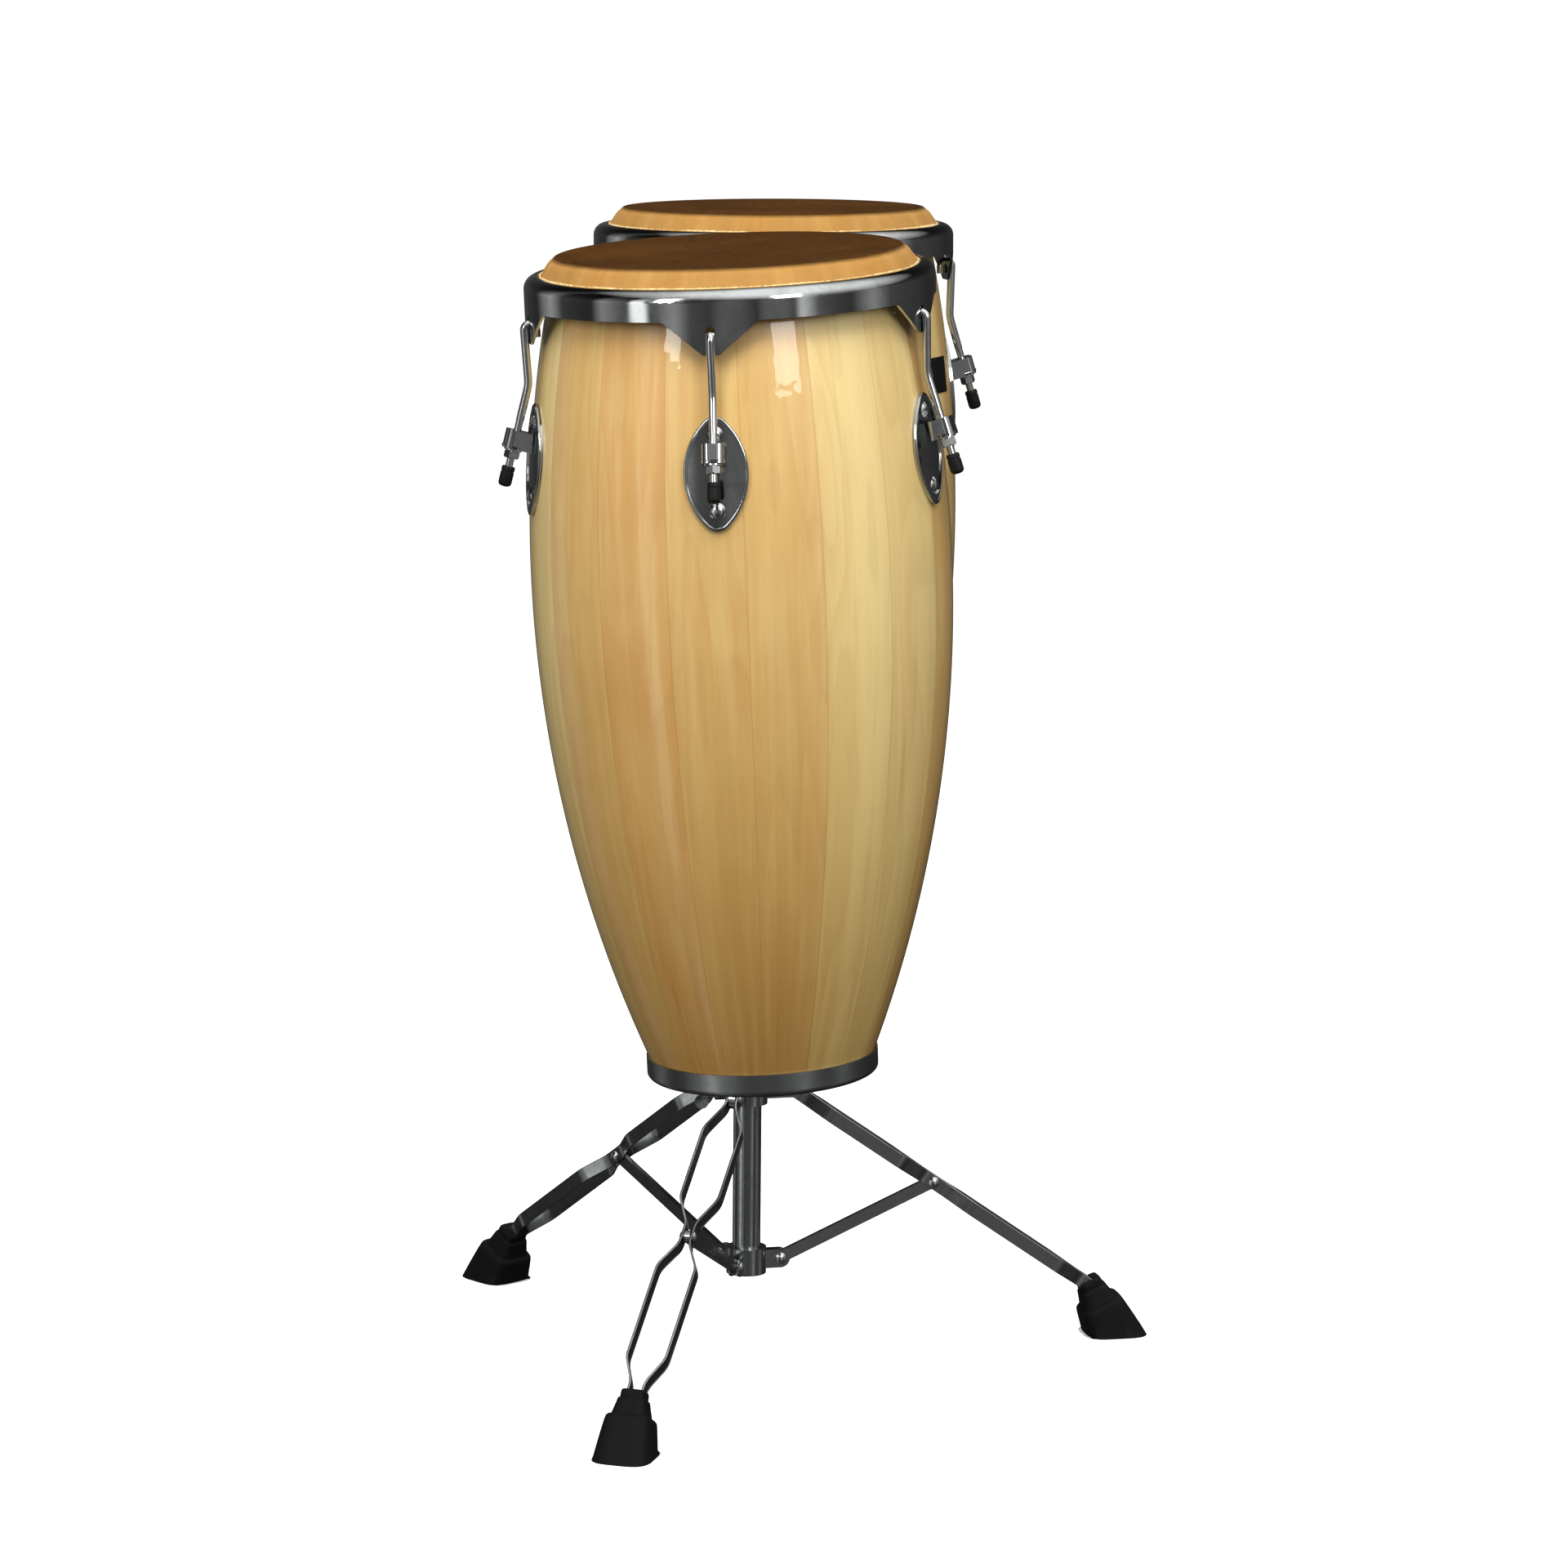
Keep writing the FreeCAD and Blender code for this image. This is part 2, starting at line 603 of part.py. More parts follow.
def make_saddle(drum):
    """Curved plate on the shell with two upright sockets that slide down over the cradle's prongs."""
    place = drum_placement(drum)
    thick = size("saddle_thick")
    side = saddle_side(drum)
    prong_y = size("prong_front_y") if side < 0 else size("prong_rear_y")
    local_z = size("saddle_low") - size("base_z")
    layer = turned_skin(drum, local_z - 30, local_z + 80, 0.0, thick)
    layer.Placement = place
    low = size("saddle_low")
    window = block(150, 90, 50, V(0, side * 45 + prong_y * 0.2, low + 25))
    plate = layer.common(window)
    inner_part = turned_skin(drum, local_z - 30, local_z + 80, -60.0, 0.5)
    inner_part.Placement = place
    rest = size("cradle_z") + size("cradle_thick")
    parts = []
    for x in (-size("prong_x"), size("prong_x")):
        parts.append(Part.makeCylinder(size("socket_r"), size("socket_high"), V(x, prong_y, rest)))
        web_depth = 40.0
        web = block(8, web_depth, 30, V(x, prong_y + side * web_depth / 2, low + 18))
        parts.append(web.cut(inner_part).common(window))
    shape = plate.fuse(parts).removeSplitter()
    bore_r = size("prong_r") + size("socket_gap")
    for x in (-size("prong_x"), size("prong_x")):
        shape = shape.cut(Part.makeCylinder(bore_r, 200, V(x, prong_y, rest - 50)))
    for point, outward in saddle_bolt_axes(drum):
        start = place.multVec(point - outward * 25)
        end = place.multVec(point + outward * 8)
        shape = shape.cut(rod(size("bolt_r"), start, end))
        seat = place.multVec(point + outward * thick)
        shape = shape.cut(rod(6.6, seat, end))
    finish_node(feature(drum + "_saddle", shape), drum + "_mount_saddle")


def make_saddle_bolts(drum):
    bolts = []
    for point, outward in saddle_bolt_axes(drum):
        seat = point + outward * size("saddle_thick")
        inside = point - outward * (size("shell_wall") + 3.0)
        head = dome(6.5, 3.0, seat, outward)
        shank = rod(size("bolt_r"), inside - outward * 6, seat)
        nut = rod(5.5, inside - outward * 4, inside)
        bolts.append(shank.fuse([head, nut]).removeSplitter())
    finish_node(feature(drum + "_saddle_bolts", bolts), drum + "_saddle_bolts", drum_placement(drum))


# ---------------------------------------------------------------- stand: post, height tube and cradle

def tube_object(label, outer, wall, low, high):
    """Round tube about Z; outer, wall, low and high are sheet formulas."""
    outside = doc.addObject("Part::Cylinder", label + "_outside")
    bind(outside, "Radius", outer)
    bind(outside, "Height", "%s - (%s)" % (high, low))
    bind(outside, "Placement.Base.z", low)
    inside = doc.addObject("Part::Cylinder", label + "_inside")
    bind(inside, "Radius", "%s - (%s)" % (outer, wall))
    bind(inside, "Height", "%s - (%s) + 20" % (high, low))
    bind(inside, "Placement.Base.z", "%s - 10" % low)
    cut = doc.addObject("Part::Cut", label)
    cut.Base = outside
    cut.Tool = inside
    return cut


def make_post():
    tube = tube_object("post_tube", "Sheet.post_r", "Sheet.post_wall", "Sheet.post_low", "Sheet.post_top")
    finish_node(tube, "post_tube")
    plug = doc.addObject("Part::Cylinder", "post_plug_body")
    bind(plug, "Radius", "Sheet.post_r - Sheet.post_wall")
    plug.Height = 16.0
    bind(plug, "Placement.Base.z", "Sheet.post_low - 1")
    finish_node(plug, "post_plug")


def make_height_tube():
    outer = "Sheet.post_r - Sheet.post_wall - Sheet.tube_gap"
    tube = tube_object("height_tube", outer, "Sheet.tube_wall", "Sheet.tube_low", "Sheet.cradle_z")
    finish_node(tube, "height_tube")


def wing_screw(start, direction, span, thread_r, reach):
    """Wing screw: threaded shank from start outwards, hub and two flat wings in the upright plane."""
    side = direction.cross(UP).normalize()
    hub_low = start + direction * reach
    hub_high = hub_low + direction * 10
    shape = rod(thread_r, start, hub_low + direction * 2).fuse(rod(6.0, hub_low, hub_high))
    for sign in (-1, 1):
        centre = hub_high + UP * sign * span * 0.55
        wing = rod(span * 0.36, centre - side * 2.2, centre + side * 2.2)
        shape = shape.fuse(wing)
    return shape.removeSplitter()


def make_height_clamp():
    """Memory-lock collar clamped on the height tube; it rests on the post's end."""
    low = size("post_top")
    high = size("clamp_high")
    tube_r = size("post_r") - size("post_wall") - size("tube_gap")
    collar = Part.makeCylinder(size("clamp_r"), high, V(0, 0, low))
    lug = block(26, 18, high, V(-26, 0, low + high / 2))
    collar = collar.fuse(lug).removeSplitter()
    collar = collar.cut(Part.makeCylinder(tube_r, high * 3, V(0, 0, low - high)))
    collar = collar.cut(block(40, 2.0, high * 3, V(-30, 0, low + high / 2)))
    across = V(-31, 0, low + high / 2)
    collar = collar.cut(rod(3.2, across - V(0, 30, 0), across + V(0, 30, 0)))
    finish_node(feature("height_clamp_shape", collar), "height_clamp")
    screw = rod(3.1, across - V(0, 12, 0), across + V(0, 11, 0))
    head = rod(5.5, across + V(0, 9.3, 0), across + V(0, 16, 0))
    bar = rod(3.0, across + V(0, 13.5, -14), across + V(0, 13.5, 14))
    screw = screw.fuse([head, bar]).removeSplitter()
    finish_node(feature("height_screw_shape", screw), "height_screw")


def make_cradle():
    thick = size("cradle_thick")
    low = size("cradle_z")
    half_x = size("cradle_half_x")
    front = size("cradle_front")
    back = size("cradle_back")
    plate = Part.makeBox(2 * half_x, front + back, thick, V(-half_x, -front, low))
    upright = [edge for edge in plate.Edges if abs(edge.tangentAt(edge.FirstParameter).z) > 0.9]
    plate = plate.makeFillet(10.0, upright)
    for x in (-34.0, 34.0):
        window = block(30, 26, thick * 3, V(x, 8, low))
        corners = [edge for edge in window.Edges if abs(edge.tangentAt(edge.FirstParameter).z) > 0.9]
        plate = plate.cut(window.makeFillet(6.0, corners))
    finish_node(feature("cradle_plate_shape", plate), "cradle_plate")
    prongs = []
    for x in (-size("prong_x"), size("prong_x")):
        for y in (size("prong_front_y"), size("prong_rear_y")):
            base = V(x, y, low + thick)
            prong = Part.makeCylinder(size("prong_r"), size("prong_high") - 4, base)
            tip_base = base + V(0, 0, size("prong_high") - 4)
            tip = Part.makeCone(size("prong_r"), size("prong_r") - 2.5, 4, tip_base)
            prongs.append(prong.fuse(tip).removeSplitter())
    finish_node(feature("cradle_prongs_shape", prongs), "cradle_prongs")


# ---------------------------------------------------------------- stand: tripod

LEGS = {"front": 0, "right": 1, "left": 2}


def leg_azimuth(leg):
    return size("leg_first") + 120.0 * LEGS[leg]


def leg_axes():
    """Unit vectors of a leg in the +X plane: down the leg, and square to it on the upper side."""
    angle = math.radians(size("leg_angle"))
    return V(math.cos(angle), 0, -math.sin(angle)), V(math.sin(angle), 0, math.cos(angle))


def leg_point(distance):
    """Point on the leg's centre line, that far from its top pivot."""
    down, _ = leg_axes()
    return V(size("pivot_r"), 0, size("pivot_z")) + down * distance


def strip_shape(sign):
    """One flat strip of a leg, bowed out between the top pivot, the brace pivot and the foot."""
    down, above = leg_axes()
    mid = size("leg_mid")
    long = size("leg_long")
    pinch = size("pinch")
    spread = size("spread")
    stations = [(-8, pinch), (12, pinch), (40, spread), (mid - 40, spread), (mid - 12, pinch), (mid + 12, pinch),
                (mid + 38, spread), (long - 56, spread), (long - 30, 6.5), (long, 6.5)]
    half = size("strip_thick") / 2
    wide = size("strip_wide")
    outer = [(s, t + half) for s, t in stations]
    inner = [(s, t - half) for s, t in reversed(stations)]
    start = V(size("pivot_r"), 0, size("pivot_z")) - above * wide / 2
    points = [start + down * s + V(0, sign * t, 0) for s, t in outer + inner]
    strip = prism(points, above * wide)
    for distance in (0.0, mid):
        centre = leg_point(distance)
        radius = size("rivet_r") + (0.05 if distance == 0.0 else 0.0)
        strip = strip.cut(rod(radius, centre - V(0, 30, 0), centre + V(0, 30, 0)))
    return strip


def foot_wire(half, along, place):
    """Rounded square section of a foot at a distance along the foot's axis."""
    round_r = half * 0.32
    square = Part.makeBox(2 * half, 2 * half, 1, V(-half, -half, along))
    upright = [edge for edge in square.Edges if abs(edge.tangentAt(edge.FirstParameter).z) > 0.9]
    square = square.makeFillet(round_r, upright)
    bottom = min(square.Faces, key=lambda face: face.CenterOfMass.z)
    wire = bottom.OuterWire.copy()
    wire.Placement = place
    return wire


def foot_shape():
    """Stepped rubber foot on a slanting axis, cut flat where it stands on the floor."""
    base = V(size("foot_r"), 0, 0)
    top = V(size("foot_top_r"), 0, size("foot_top_z"))
    axis = (top - base).normalize()
    place = FreeCAD.Placement(base, FreeCAD.Rotation(UP, axis))
    tiers = [(-14, 27.0, 34, 20.5), (33, 17.5, 49, 13.2), (48, 11.5, 57, 10.2)]
    solids = []
    for low, low_half, high, high_half in tiers:
        wires = [foot_wire(low_half, low, place), foot_wire(high_half, high, place)]
        solids.append(Part.makeLoft(wires, True, True))
    foot = solids[0].fuse(solids[1:]).removeSplitter()
    return foot.cut(block(200, 200, 100, V(size("foot_r"), 0, -50)))


def rivet_pair(centre, inner_face, outer_face):
    """Two short rivets, one in each strip, with the space between them left free."""
    halves = []
    for sign in (-1, 1):
        start = centre + V(0, sign * inner_face, 0)
        end = centre + V(0, sign * outer_face, 0)
        head = dome(size("rivet_head_r"), size("rivet_head_high"), end, V(0, sign, 0))
        halves.append(rod(size("rivet_r"), start, end).fuse(head).removeSplitter())
    return halves


def through_rivet(centre, outer_face):
    """Rivet with a head on both sides."""
    start = centre - V(0, outer_face, 0)
    end = centre + V(0, outer_face, 0)
    heads = [dome(size("rivet_head_r"), size("rivet_head_high"), end, V(0, 1, 0)),
             dome(size("rivet_head_r"), size("rivet_head_high"), start, V(0, -1, 0))]
    return rod(size("rivet_r"), start, end).fuse(heads).removeSplitter()


def make_legs():
    strip_out = size("pinch") + size("strip_thick") / 2
    strip_in = size("pinch") - size("strip_thick") / 2
    strips = {"near": strip_shape(-1), "far": strip_shape(1)}
    foot = foot_shape()
    for strip in strips.values():
        foot = foot.cut(strip)
    rivets = rivet_pair(leg_point(size("leg_mid")), strip_in, strip_out)
    for leg in LEGS:
        turn = FreeCAD.Placement(V(0, 0, 0), FreeCAD.Rotation(UP, leg_azimuth(leg)))
        for name, strip in strips.items():
            label = "%s_leg_%s_strip" % (leg, name)
            finish_node(feature(label + "_shape", strip), label, turn)
        finish_node(feature(leg + "_leg_rivets_shape", rivets), leg + "_leg_rivets", turn)
        finish_node(feature(leg + "_foot_shape", foot), leg + "_rubber_foot", turn)


def brace_points():
    """Lower and upper pivot of a brace in the +X plane."""
    return V(size("low_pivot_r"), 0, size("low_pivot_z")), leg_point(size("leg_mid"))


def make_braces():
    low, high = brace_points()
    thick = size("brace_thick")
    wide = size("brace_wide")
    along = (high - low).normalize()
    above = V(-along.z, 0, along.x)
    start = low - V(0, thick / 2, 0) - above * wide / 2
    points = [start, start + (high - low), start + (high - low) + above * wide, start + above * wide]
    bar = prism(points, V(0, thick, 0))
    for centre in (low, high):
        bar = bar.fuse(rod(wide / 2, centre - V(0, thick / 2, 0), centre + V(0, thick / 2, 0)))
    bar = bar.removeSplitter()
    for centre in (low, high):
        bar = bar.cut(rod(size("rivet_r") + 0.05, centre - V(0, 30, 0), centre + V(0, 30, 0)))
    for leg in LEGS:
        turn = FreeCAD.Placement(V(0, 0, 0), FreeCAD.Rotation(UP, leg_azimuth(leg)))
        finish_node(feature(leg + "_brace_shape", bar), leg + "_brace", turn)


def ear_plate(pivot, thick, offset):
    """Ear that reaches from the post to a pivot, round at its end, at a sideways offset."""
    round_r = size("ear_round")
    start = size("post_r") + 1.0
    plate = block(pivot.x - start, thick, 2 * round_r, V((pivot.x + start) / 2, offset, pivot.z))
    end = rod(round_r, pivot + V(0, offset - thick / 2, 0), pivot + V(0, offset + thick / 2, 0))
    return plate.fuse(end)


def collar_shape(pivot, ears, bore_r):
    """Sleeve on the post with three sets of ears."""
    high = size("collar_high")
    sleeve = Part.makeCylinder(size("collar_r"), high, V(0, 0, pivot.z - high / 2))
    angles = [leg_azimuth(leg) for leg in LEGS]
    for ear in ears:
        sleeve = sleeve.fuse(turned_copies(ear, angles))
    sleeve = sleeve.removeSplitter()
    sleeve = sleeve.cut(Part.makeCylinder(bore_r, high * 3, V(0, 0, pivot.z - high * 1.5)))
    hole = rod(size("rivet_r"), pivot - V(0, 30, 0), pivot + V(0, 30, 0))
    for cutter in turned_copies(hole, angles):
        sleeve = sleeve.cut(cutter)
    return sleeve


def make_upper_collar():
    pivot = V(size("pivot_r"), 0, size("pivot_z"))
    shape = collar_shape(pivot, [ear_plate(pivot, size("ear_thick"), 0.0)], size("post_r") + 0.1)
    screw_angle = size("leg_first") - 60.0
    outward = V(math.cos(math.radians(screw_angle)), math.sin(math.radians(screw_angle)), 0)
    middle = V(0, 0, size("pivot_z"))
    boss = rod(8.0, middle + outward * 14, middle + outward * 30)
    shape = shape.fuse(boss).removeSplitter()
    shape = shape.cut(Part.makeCylinder(size("post_r") + 0.1, 100, V(0, 0, size("pivot_z") - 50)))
    shape = shape.cut(rod(4.1, middle + outward * 10, middle + outward * 40))
    finish_node(feature("upper_collar_shape", shape), "upper_collar")
    screw = wing_screw(middle + outward * 13.2, outward, 17.0, 4.0, 19.0)
    finish_node(feature("collar_wing_screw_shape", screw), "collar_wing_screw")
    strip_out = size("pinch") + size("strip_thick") / 2 + 0.3
    pins = turned_copies(through_rivet(pivot, strip_out), [leg_azimuth(leg) for leg in LEGS])
    finish_node(feature("leg_pivot_pins_shape", pins), "leg_pivot_pins")


def make_lower_collar():
    pivot = V(size("low_pivot_r"), 0, size("low_pivot_z"))
    thick = size("low_ear_thick")
    offset = size("fork_half") + thick / 2
    ears = [ear_plate(pivot, thick, -offset), ear_plate(pivot, thick, offset)]
    finish_node(feature("lower_collar_shape", collar_shape(pivot, ears, size("post_r"))), "lower_collar")
    pins = turned_copies(through_rivet(pivot, offset + thick / 2), [leg_azimuth(leg) for leg in LEGS])
    finish_node(feature("brace_pivot_pins_shape", pins), "brace_pivot_pins")


# ---------------------------------------------------------------- build everything

def make_drum(drum):
    make_shell(drum)
    make_foot_band(drum)
    make_skin(drum)
    make_flesh_hoop(drum)
    make_rim(drum)
    make_side_plates(drum)
    make_plate_bolts(drum)
    make_hooks(drum)
    make_nuts(drum)
    make_saddle(drum)
    make_saddle_bolts(drum)


for drum_name in ("front", "rear"):
    make_drum(drum_name)
make_badge("rear")
make_post()
make_height_tube()
make_height_clamp()
make_cradle()
make_legs()
make_braces()
make_upper_collar()
make_lower_collar()
doc.recompute()

for item in doc.Objects:
    if "Invalid" in item.State or "Error" in item.State:
        raise RuntimeError("failed object: " + item.Name)
os.makedirs("parts", exist_ok=True)
for node in NODES:
    if node.Shape.isNull() or not node.Shape.isValid() or not node.Shape.Solids:
        raise RuntimeError("bad shape: " + node.Label)
    node.Shape.exportStep("parts/%s.step" % node.Label)
print(len(NODES), "nodes written")
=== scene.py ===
import math
import random

import bpy
from mathutils import Matrix, Vector


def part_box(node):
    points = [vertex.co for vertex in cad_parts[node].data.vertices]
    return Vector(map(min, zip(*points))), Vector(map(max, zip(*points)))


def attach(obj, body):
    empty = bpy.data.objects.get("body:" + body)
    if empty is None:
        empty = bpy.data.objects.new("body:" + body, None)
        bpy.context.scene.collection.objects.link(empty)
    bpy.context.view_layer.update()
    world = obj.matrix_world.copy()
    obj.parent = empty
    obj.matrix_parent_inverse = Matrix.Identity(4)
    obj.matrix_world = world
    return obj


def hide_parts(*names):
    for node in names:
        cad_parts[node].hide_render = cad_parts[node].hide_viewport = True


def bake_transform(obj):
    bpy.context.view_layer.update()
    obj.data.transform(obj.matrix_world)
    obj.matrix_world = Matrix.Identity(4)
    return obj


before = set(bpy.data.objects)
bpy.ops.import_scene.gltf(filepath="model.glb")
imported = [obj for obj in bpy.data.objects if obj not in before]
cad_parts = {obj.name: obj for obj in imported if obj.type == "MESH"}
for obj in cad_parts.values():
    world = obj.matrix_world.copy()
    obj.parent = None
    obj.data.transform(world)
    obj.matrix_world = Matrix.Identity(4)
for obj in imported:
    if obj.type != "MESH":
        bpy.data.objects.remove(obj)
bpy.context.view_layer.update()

# Pair of conga drums on a folding stand. Metres, +Z up, the player's side is -Y.

MM = 0.001
DRUMS = {
    "front": {"foot_r": 91.1 * MM, "edge_r": 147.8 * MM, "arc_r": 1130 * MM, "first_seam": 1.6, "tone": 0},
    "rear": {"foot_r": 84.3 * MM, "edge_r": 136.7 * MM, "arc_r": 1215 * MM, "first_seam": 9.0, "tone": 6},
}
LEGS = ("front", "right", "left")
LUG_COUNT = 5
FIRST_LUG = {"front": -95.3, "rear": 13.0}
BAND_HIGH = 18.0 * MM
BAND_BELOW = 1.8 * MM
SHELL_HIGH = 709.6 * MM
SHELL_WALL = 11 * MM
EDGE_ROUND = 3 * MM
STAVES = 17
SKIN_THICK = 1.8 * MM
SKIRT_OUT = 12.4 * MM
SKIRT_TOP = 695.6 * MM
SKIRT_LOW = 683.0 * MM
HIDE_EDGE_ROOT = 690 * MM
HIDE_EDGE_TOP = 696.9 * MM


# ---------- places from the frame ----------

def middle(node):
    """Centre of a CAD node's box."""
    low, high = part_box(node)
    return (Vector(low) + Vector(high)) / 2


def drum_matrix(drum):
    """Drum's own frame: origin at its foot centre, +Z up its axis."""
    lower = middle(drum + "_foot_band")
    upper = middle(drum + "_flesh_hoop")
    axis = (upper - lower).normalized()
    turn = Vector((0, 0, 1)).rotation_difference(axis)
    band_middle = (BAND_HIGH - BAND_BELOW) / 2
    return Matrix.Translation(lower - axis * band_middle) @ turn.to_matrix().to_4x4()


PLACES = {drum: drum_matrix(drum) for drum in DRUMS}


# ---------- node helpers ----------

def new_material(name, **settings):
    """New material with constants on its shader's sockets. Gives the material, its tree and the shader."""
    material = bpy.data.materials.new(name)
    material.use_nodes = True
    shader = material.node_tree.nodes["Principled BSDF"]
    for socket, value in settings.items():
        shader.inputs[socket.replace("_", " ")].default_value = value
    return material, material.node_tree, shader


def put(tree, kind, inputs=None, output=0, **settings):
    """Adds a node, sets or links its inputs and gives back one output."""
    made = tree.nodes.new(kind)
    for name, value in settings.items():
        setattr(made, name, value)
    for key, value in (inputs or {}).items():
        if isinstance(value, bpy.types.NodeSocket):
            tree.links.new(value, made.inputs[key])
        else:
            made.inputs[key].default_value = value
    return made.outputs[output]


def calc(tree, operation, first, second=0.0, third=0.0):
    return put(tree, "ShaderNodeMath", {0: first, 1: second, 2: third}, operation=operation)


def noise(tree, vector, scale, detail=3.0, roughness=0.5, distortion=0.0):
    inputs = {"Vector": vector, "Scale": scale, "Detail": detail, "Roughness": roughness,
              "Distortion": distortion}
    return put(tree, "ShaderNodeTexNoise", inputs, "Fac")


def ramp(tree, factor, stops, interpolation="LINEAR"):
    made = tree.nodes.new("ShaderNodeValToRGB")
    made.color_ramp.interpolation = interpolation
    points = made.color_ramp.elements
    while len(points) < len(stops):
        points.new(1.0)
    for point, (place, colour) in zip(points, stops):
        point.position = place
        point.color = (*colour, 1.0)
    tree.links.new(factor, made.inputs["Fac"])
    return made.outputs["Color"]


def grey_ramp(tree, factor, *stops):
    return ramp(tree, factor, [(place, (value, value, value)) for place, value in stops])


def blend(tree, factor, first, second, blend_type="MIX"):
    made = tree.nodes.new("ShaderNodeMix")
    made.data_type = "RGBA"
    made.blend_type = blend_type
    for key, value in ((0, factor), (6, first), (7, second)):
        if isinstance(value, bpy.types.NodeSocket):
            tree.links.new(value, made.inputs[key])
        elif key == 0:
            made.inputs[key].default_value = value
        else:
            made.inputs[key].default_value = (*value, 1.0)
    return made.outputs[2]


def bump(tree, height, strength, distance):
    return put(tree, "ShaderNodeBump", {"Height": height, "Strength": strength, "Distance": distance})


def vector_of(tree, x, y, z):
    return put(tree, "ShaderNodeCombineXYZ", {0: x, 1: y, 2: z})


def from_hex(text):
    """sRGB colour code to linear colour."""
    levels = [int(text[index:index + 2], 16) / 255 for index in (0, 2, 4)]
    return tuple(level / 12.92 if level < 0.04045 else ((level + 0.055) / 1.055) ** 2.4 for level in levels)


def object_point(tree):
    return put(tree, "ShaderNodeTexCoord", output="Object")


def drum_point(tree, drum):
    """x, y, z of a point in a drum's own frame."""
    place = PLACES[drum]
    moved = put(tree, "ShaderNodeVectorMath", {0: object_point(tree), 1: place.translation},
                operation="SUBTRACT")
    axes = [place.to_3x3().col[index] for index in range(3)]
    return [put(tree, "ShaderNodeVectorMath", {0: moved, 1: axis}, "Value", operation="DOT_PRODUCT")
            for axis in axes]


# ---------- materials ----------

WHITE = (1.0, 1.0, 1.0)
PALE = from_hex("D9C283")
CREAM = from_hex("D3B778")
TAN = from_hex("C69F5E")
ORANGE = from_hex("C39454")
BROWN = from_hex("B18345")
DEEP_GRAIN = from_hex("94642F")

STAVE_TONES = [TAN, PALE, PALE, TAN, CREAM, ORANGE, PALE, BROWN, CREAM, TAN, PALE, ORANGE, CREAM,
               PALE, TAN, ORANGE, TAN]


def wood_colour(tree, drum):
    """Staves of differing tone, each with its own grain. Gives the colour and the streaks of the grain."""
    x, y, z = drum_point(tree, drum)
    turn = calc(tree, "ARCTAN2", x, calc(tree, "MULTIPLY", y, -1.0))
    step = 2 * math.pi / STAVES
    first = math.radians(DRUMS[drum]["first_seam"])
    place = calc(tree, "DIVIDE", calc(tree, "ADD", turn, 2 * math.pi - first), step)
    number = calc(tree, "MODULO", calc(tree, "FLOOR", place), float(STAVES))
    across = calc(tree, "FRACT", place)
    tones = list(STAVE_TONES)
    shift = DRUMS[drum]["tone"]
    tones = tones[shift:] + tones[:shift]
    stops = [(max(0.0, (index - 0.5) / STAVES), tone) for index, tone in enumerate(tones)]
    base = ramp(tree, calc(tree, "DIVIDE", number, float(STAVES)), stops, "CONSTANT")
    side = calc(tree, "MULTIPLY", across, 0.062)
    far = calc(tree, "MULTIPLY", number, 1.37)
    board = vector_of(tree, calc(tree, "ADD", side, far), far, calc(tree, "MULTIPLY", z, 0.045))
    streaks = noise(tree, board, 90.0, 6.0, 0.62, 0.25)
    broad = noise(tree, board, 26.0, 3.0, 0.5, 0.6)
    # cathedral figure: rings of a slightly tilted trunk cut by the board
    bend = vector_of(tree, calc(tree, "ADD", side, far), calc(tree, "MULTIPLY", z, 0.10), far)
    figure = noise(tree, bend, 18.0, 2.0, 0.4, 0.4)
    rings = calc(tree, "FRACT", calc(tree, "MULTIPLY", figure, 9.0))
    rings = grey_ramp(tree, rings, (0.0, 1.0), (0.72, 0.0), (0.93, 0.12), (1.0, 1.0))
    pores = noise(tree, vector_of(tree, calc(tree, "ADD", side, far), far, calc(tree, "MULTIPLY", z, 0.03)),
                  900.0, 2.0, 0.6)
    mottle = noise(tree, object_point(tree), 11.0, 3.0, 0.55)
    colour = blend(tree, grey_ramp(tree, broad, (0.38, 0.0), (0.68, 0.55)), base, TAN)
    colour = blend(tree, grey_ramp(tree, streaks, (0.34, 0.30), (0.52, 0.0)), colour, PALE)
    colour = blend(tree, grey_ramp(tree, streaks, (0.54, 0.0), (0.76, 0.34)), colour, BROWN)
    ring_weight = calc(tree, "MULTIPLY", rings, 0.13)
    colour = blend(tree, ring_weight, colour, DEEP_GRAIN)
    colour = blend(tree, grey_ramp(tree, pores, (0.60, 0.0), (0.78, 0.30)), colour, DEEP_GRAIN)
    colour = blend(tree, grey_ramp(tree, mottle, (0.40, 0.0), (0.70, 0.22)), colour, CREAM)
    knots = put(tree, "ShaderNodeTexVoronoi", {"Vector": object_point(tree), "Scale": 5.0}, "Distance")
    colour = blend(tree, grey_ramp(tree, knots, (0.006, 0.85), (0.016, 0.0)), colour, from_hex("5A3216"))
    seam = calc(tree, "ABSOLUTE", calc(tree, "SUBTRACT", across, 0.5))
    colour = blend(tree, grey_ramp(tree, seam, (0.488, 0.0), (0.499, 0.35)), colour, DEEP_GRAIN)
    # painted shade: the wood is painted darker and more yellow towards the foot
    painted_shade_to_foot = ramp(tree, z, [(0.0, (0.80, 0.70, 0.52)), (0.22, (0.95, 0.91, 0.82)), (0.40, WHITE)])
    colour = blend(tree, 1.0, colour, painted_shade_to_foot, "MULTIPLY")
    return colour, streaks


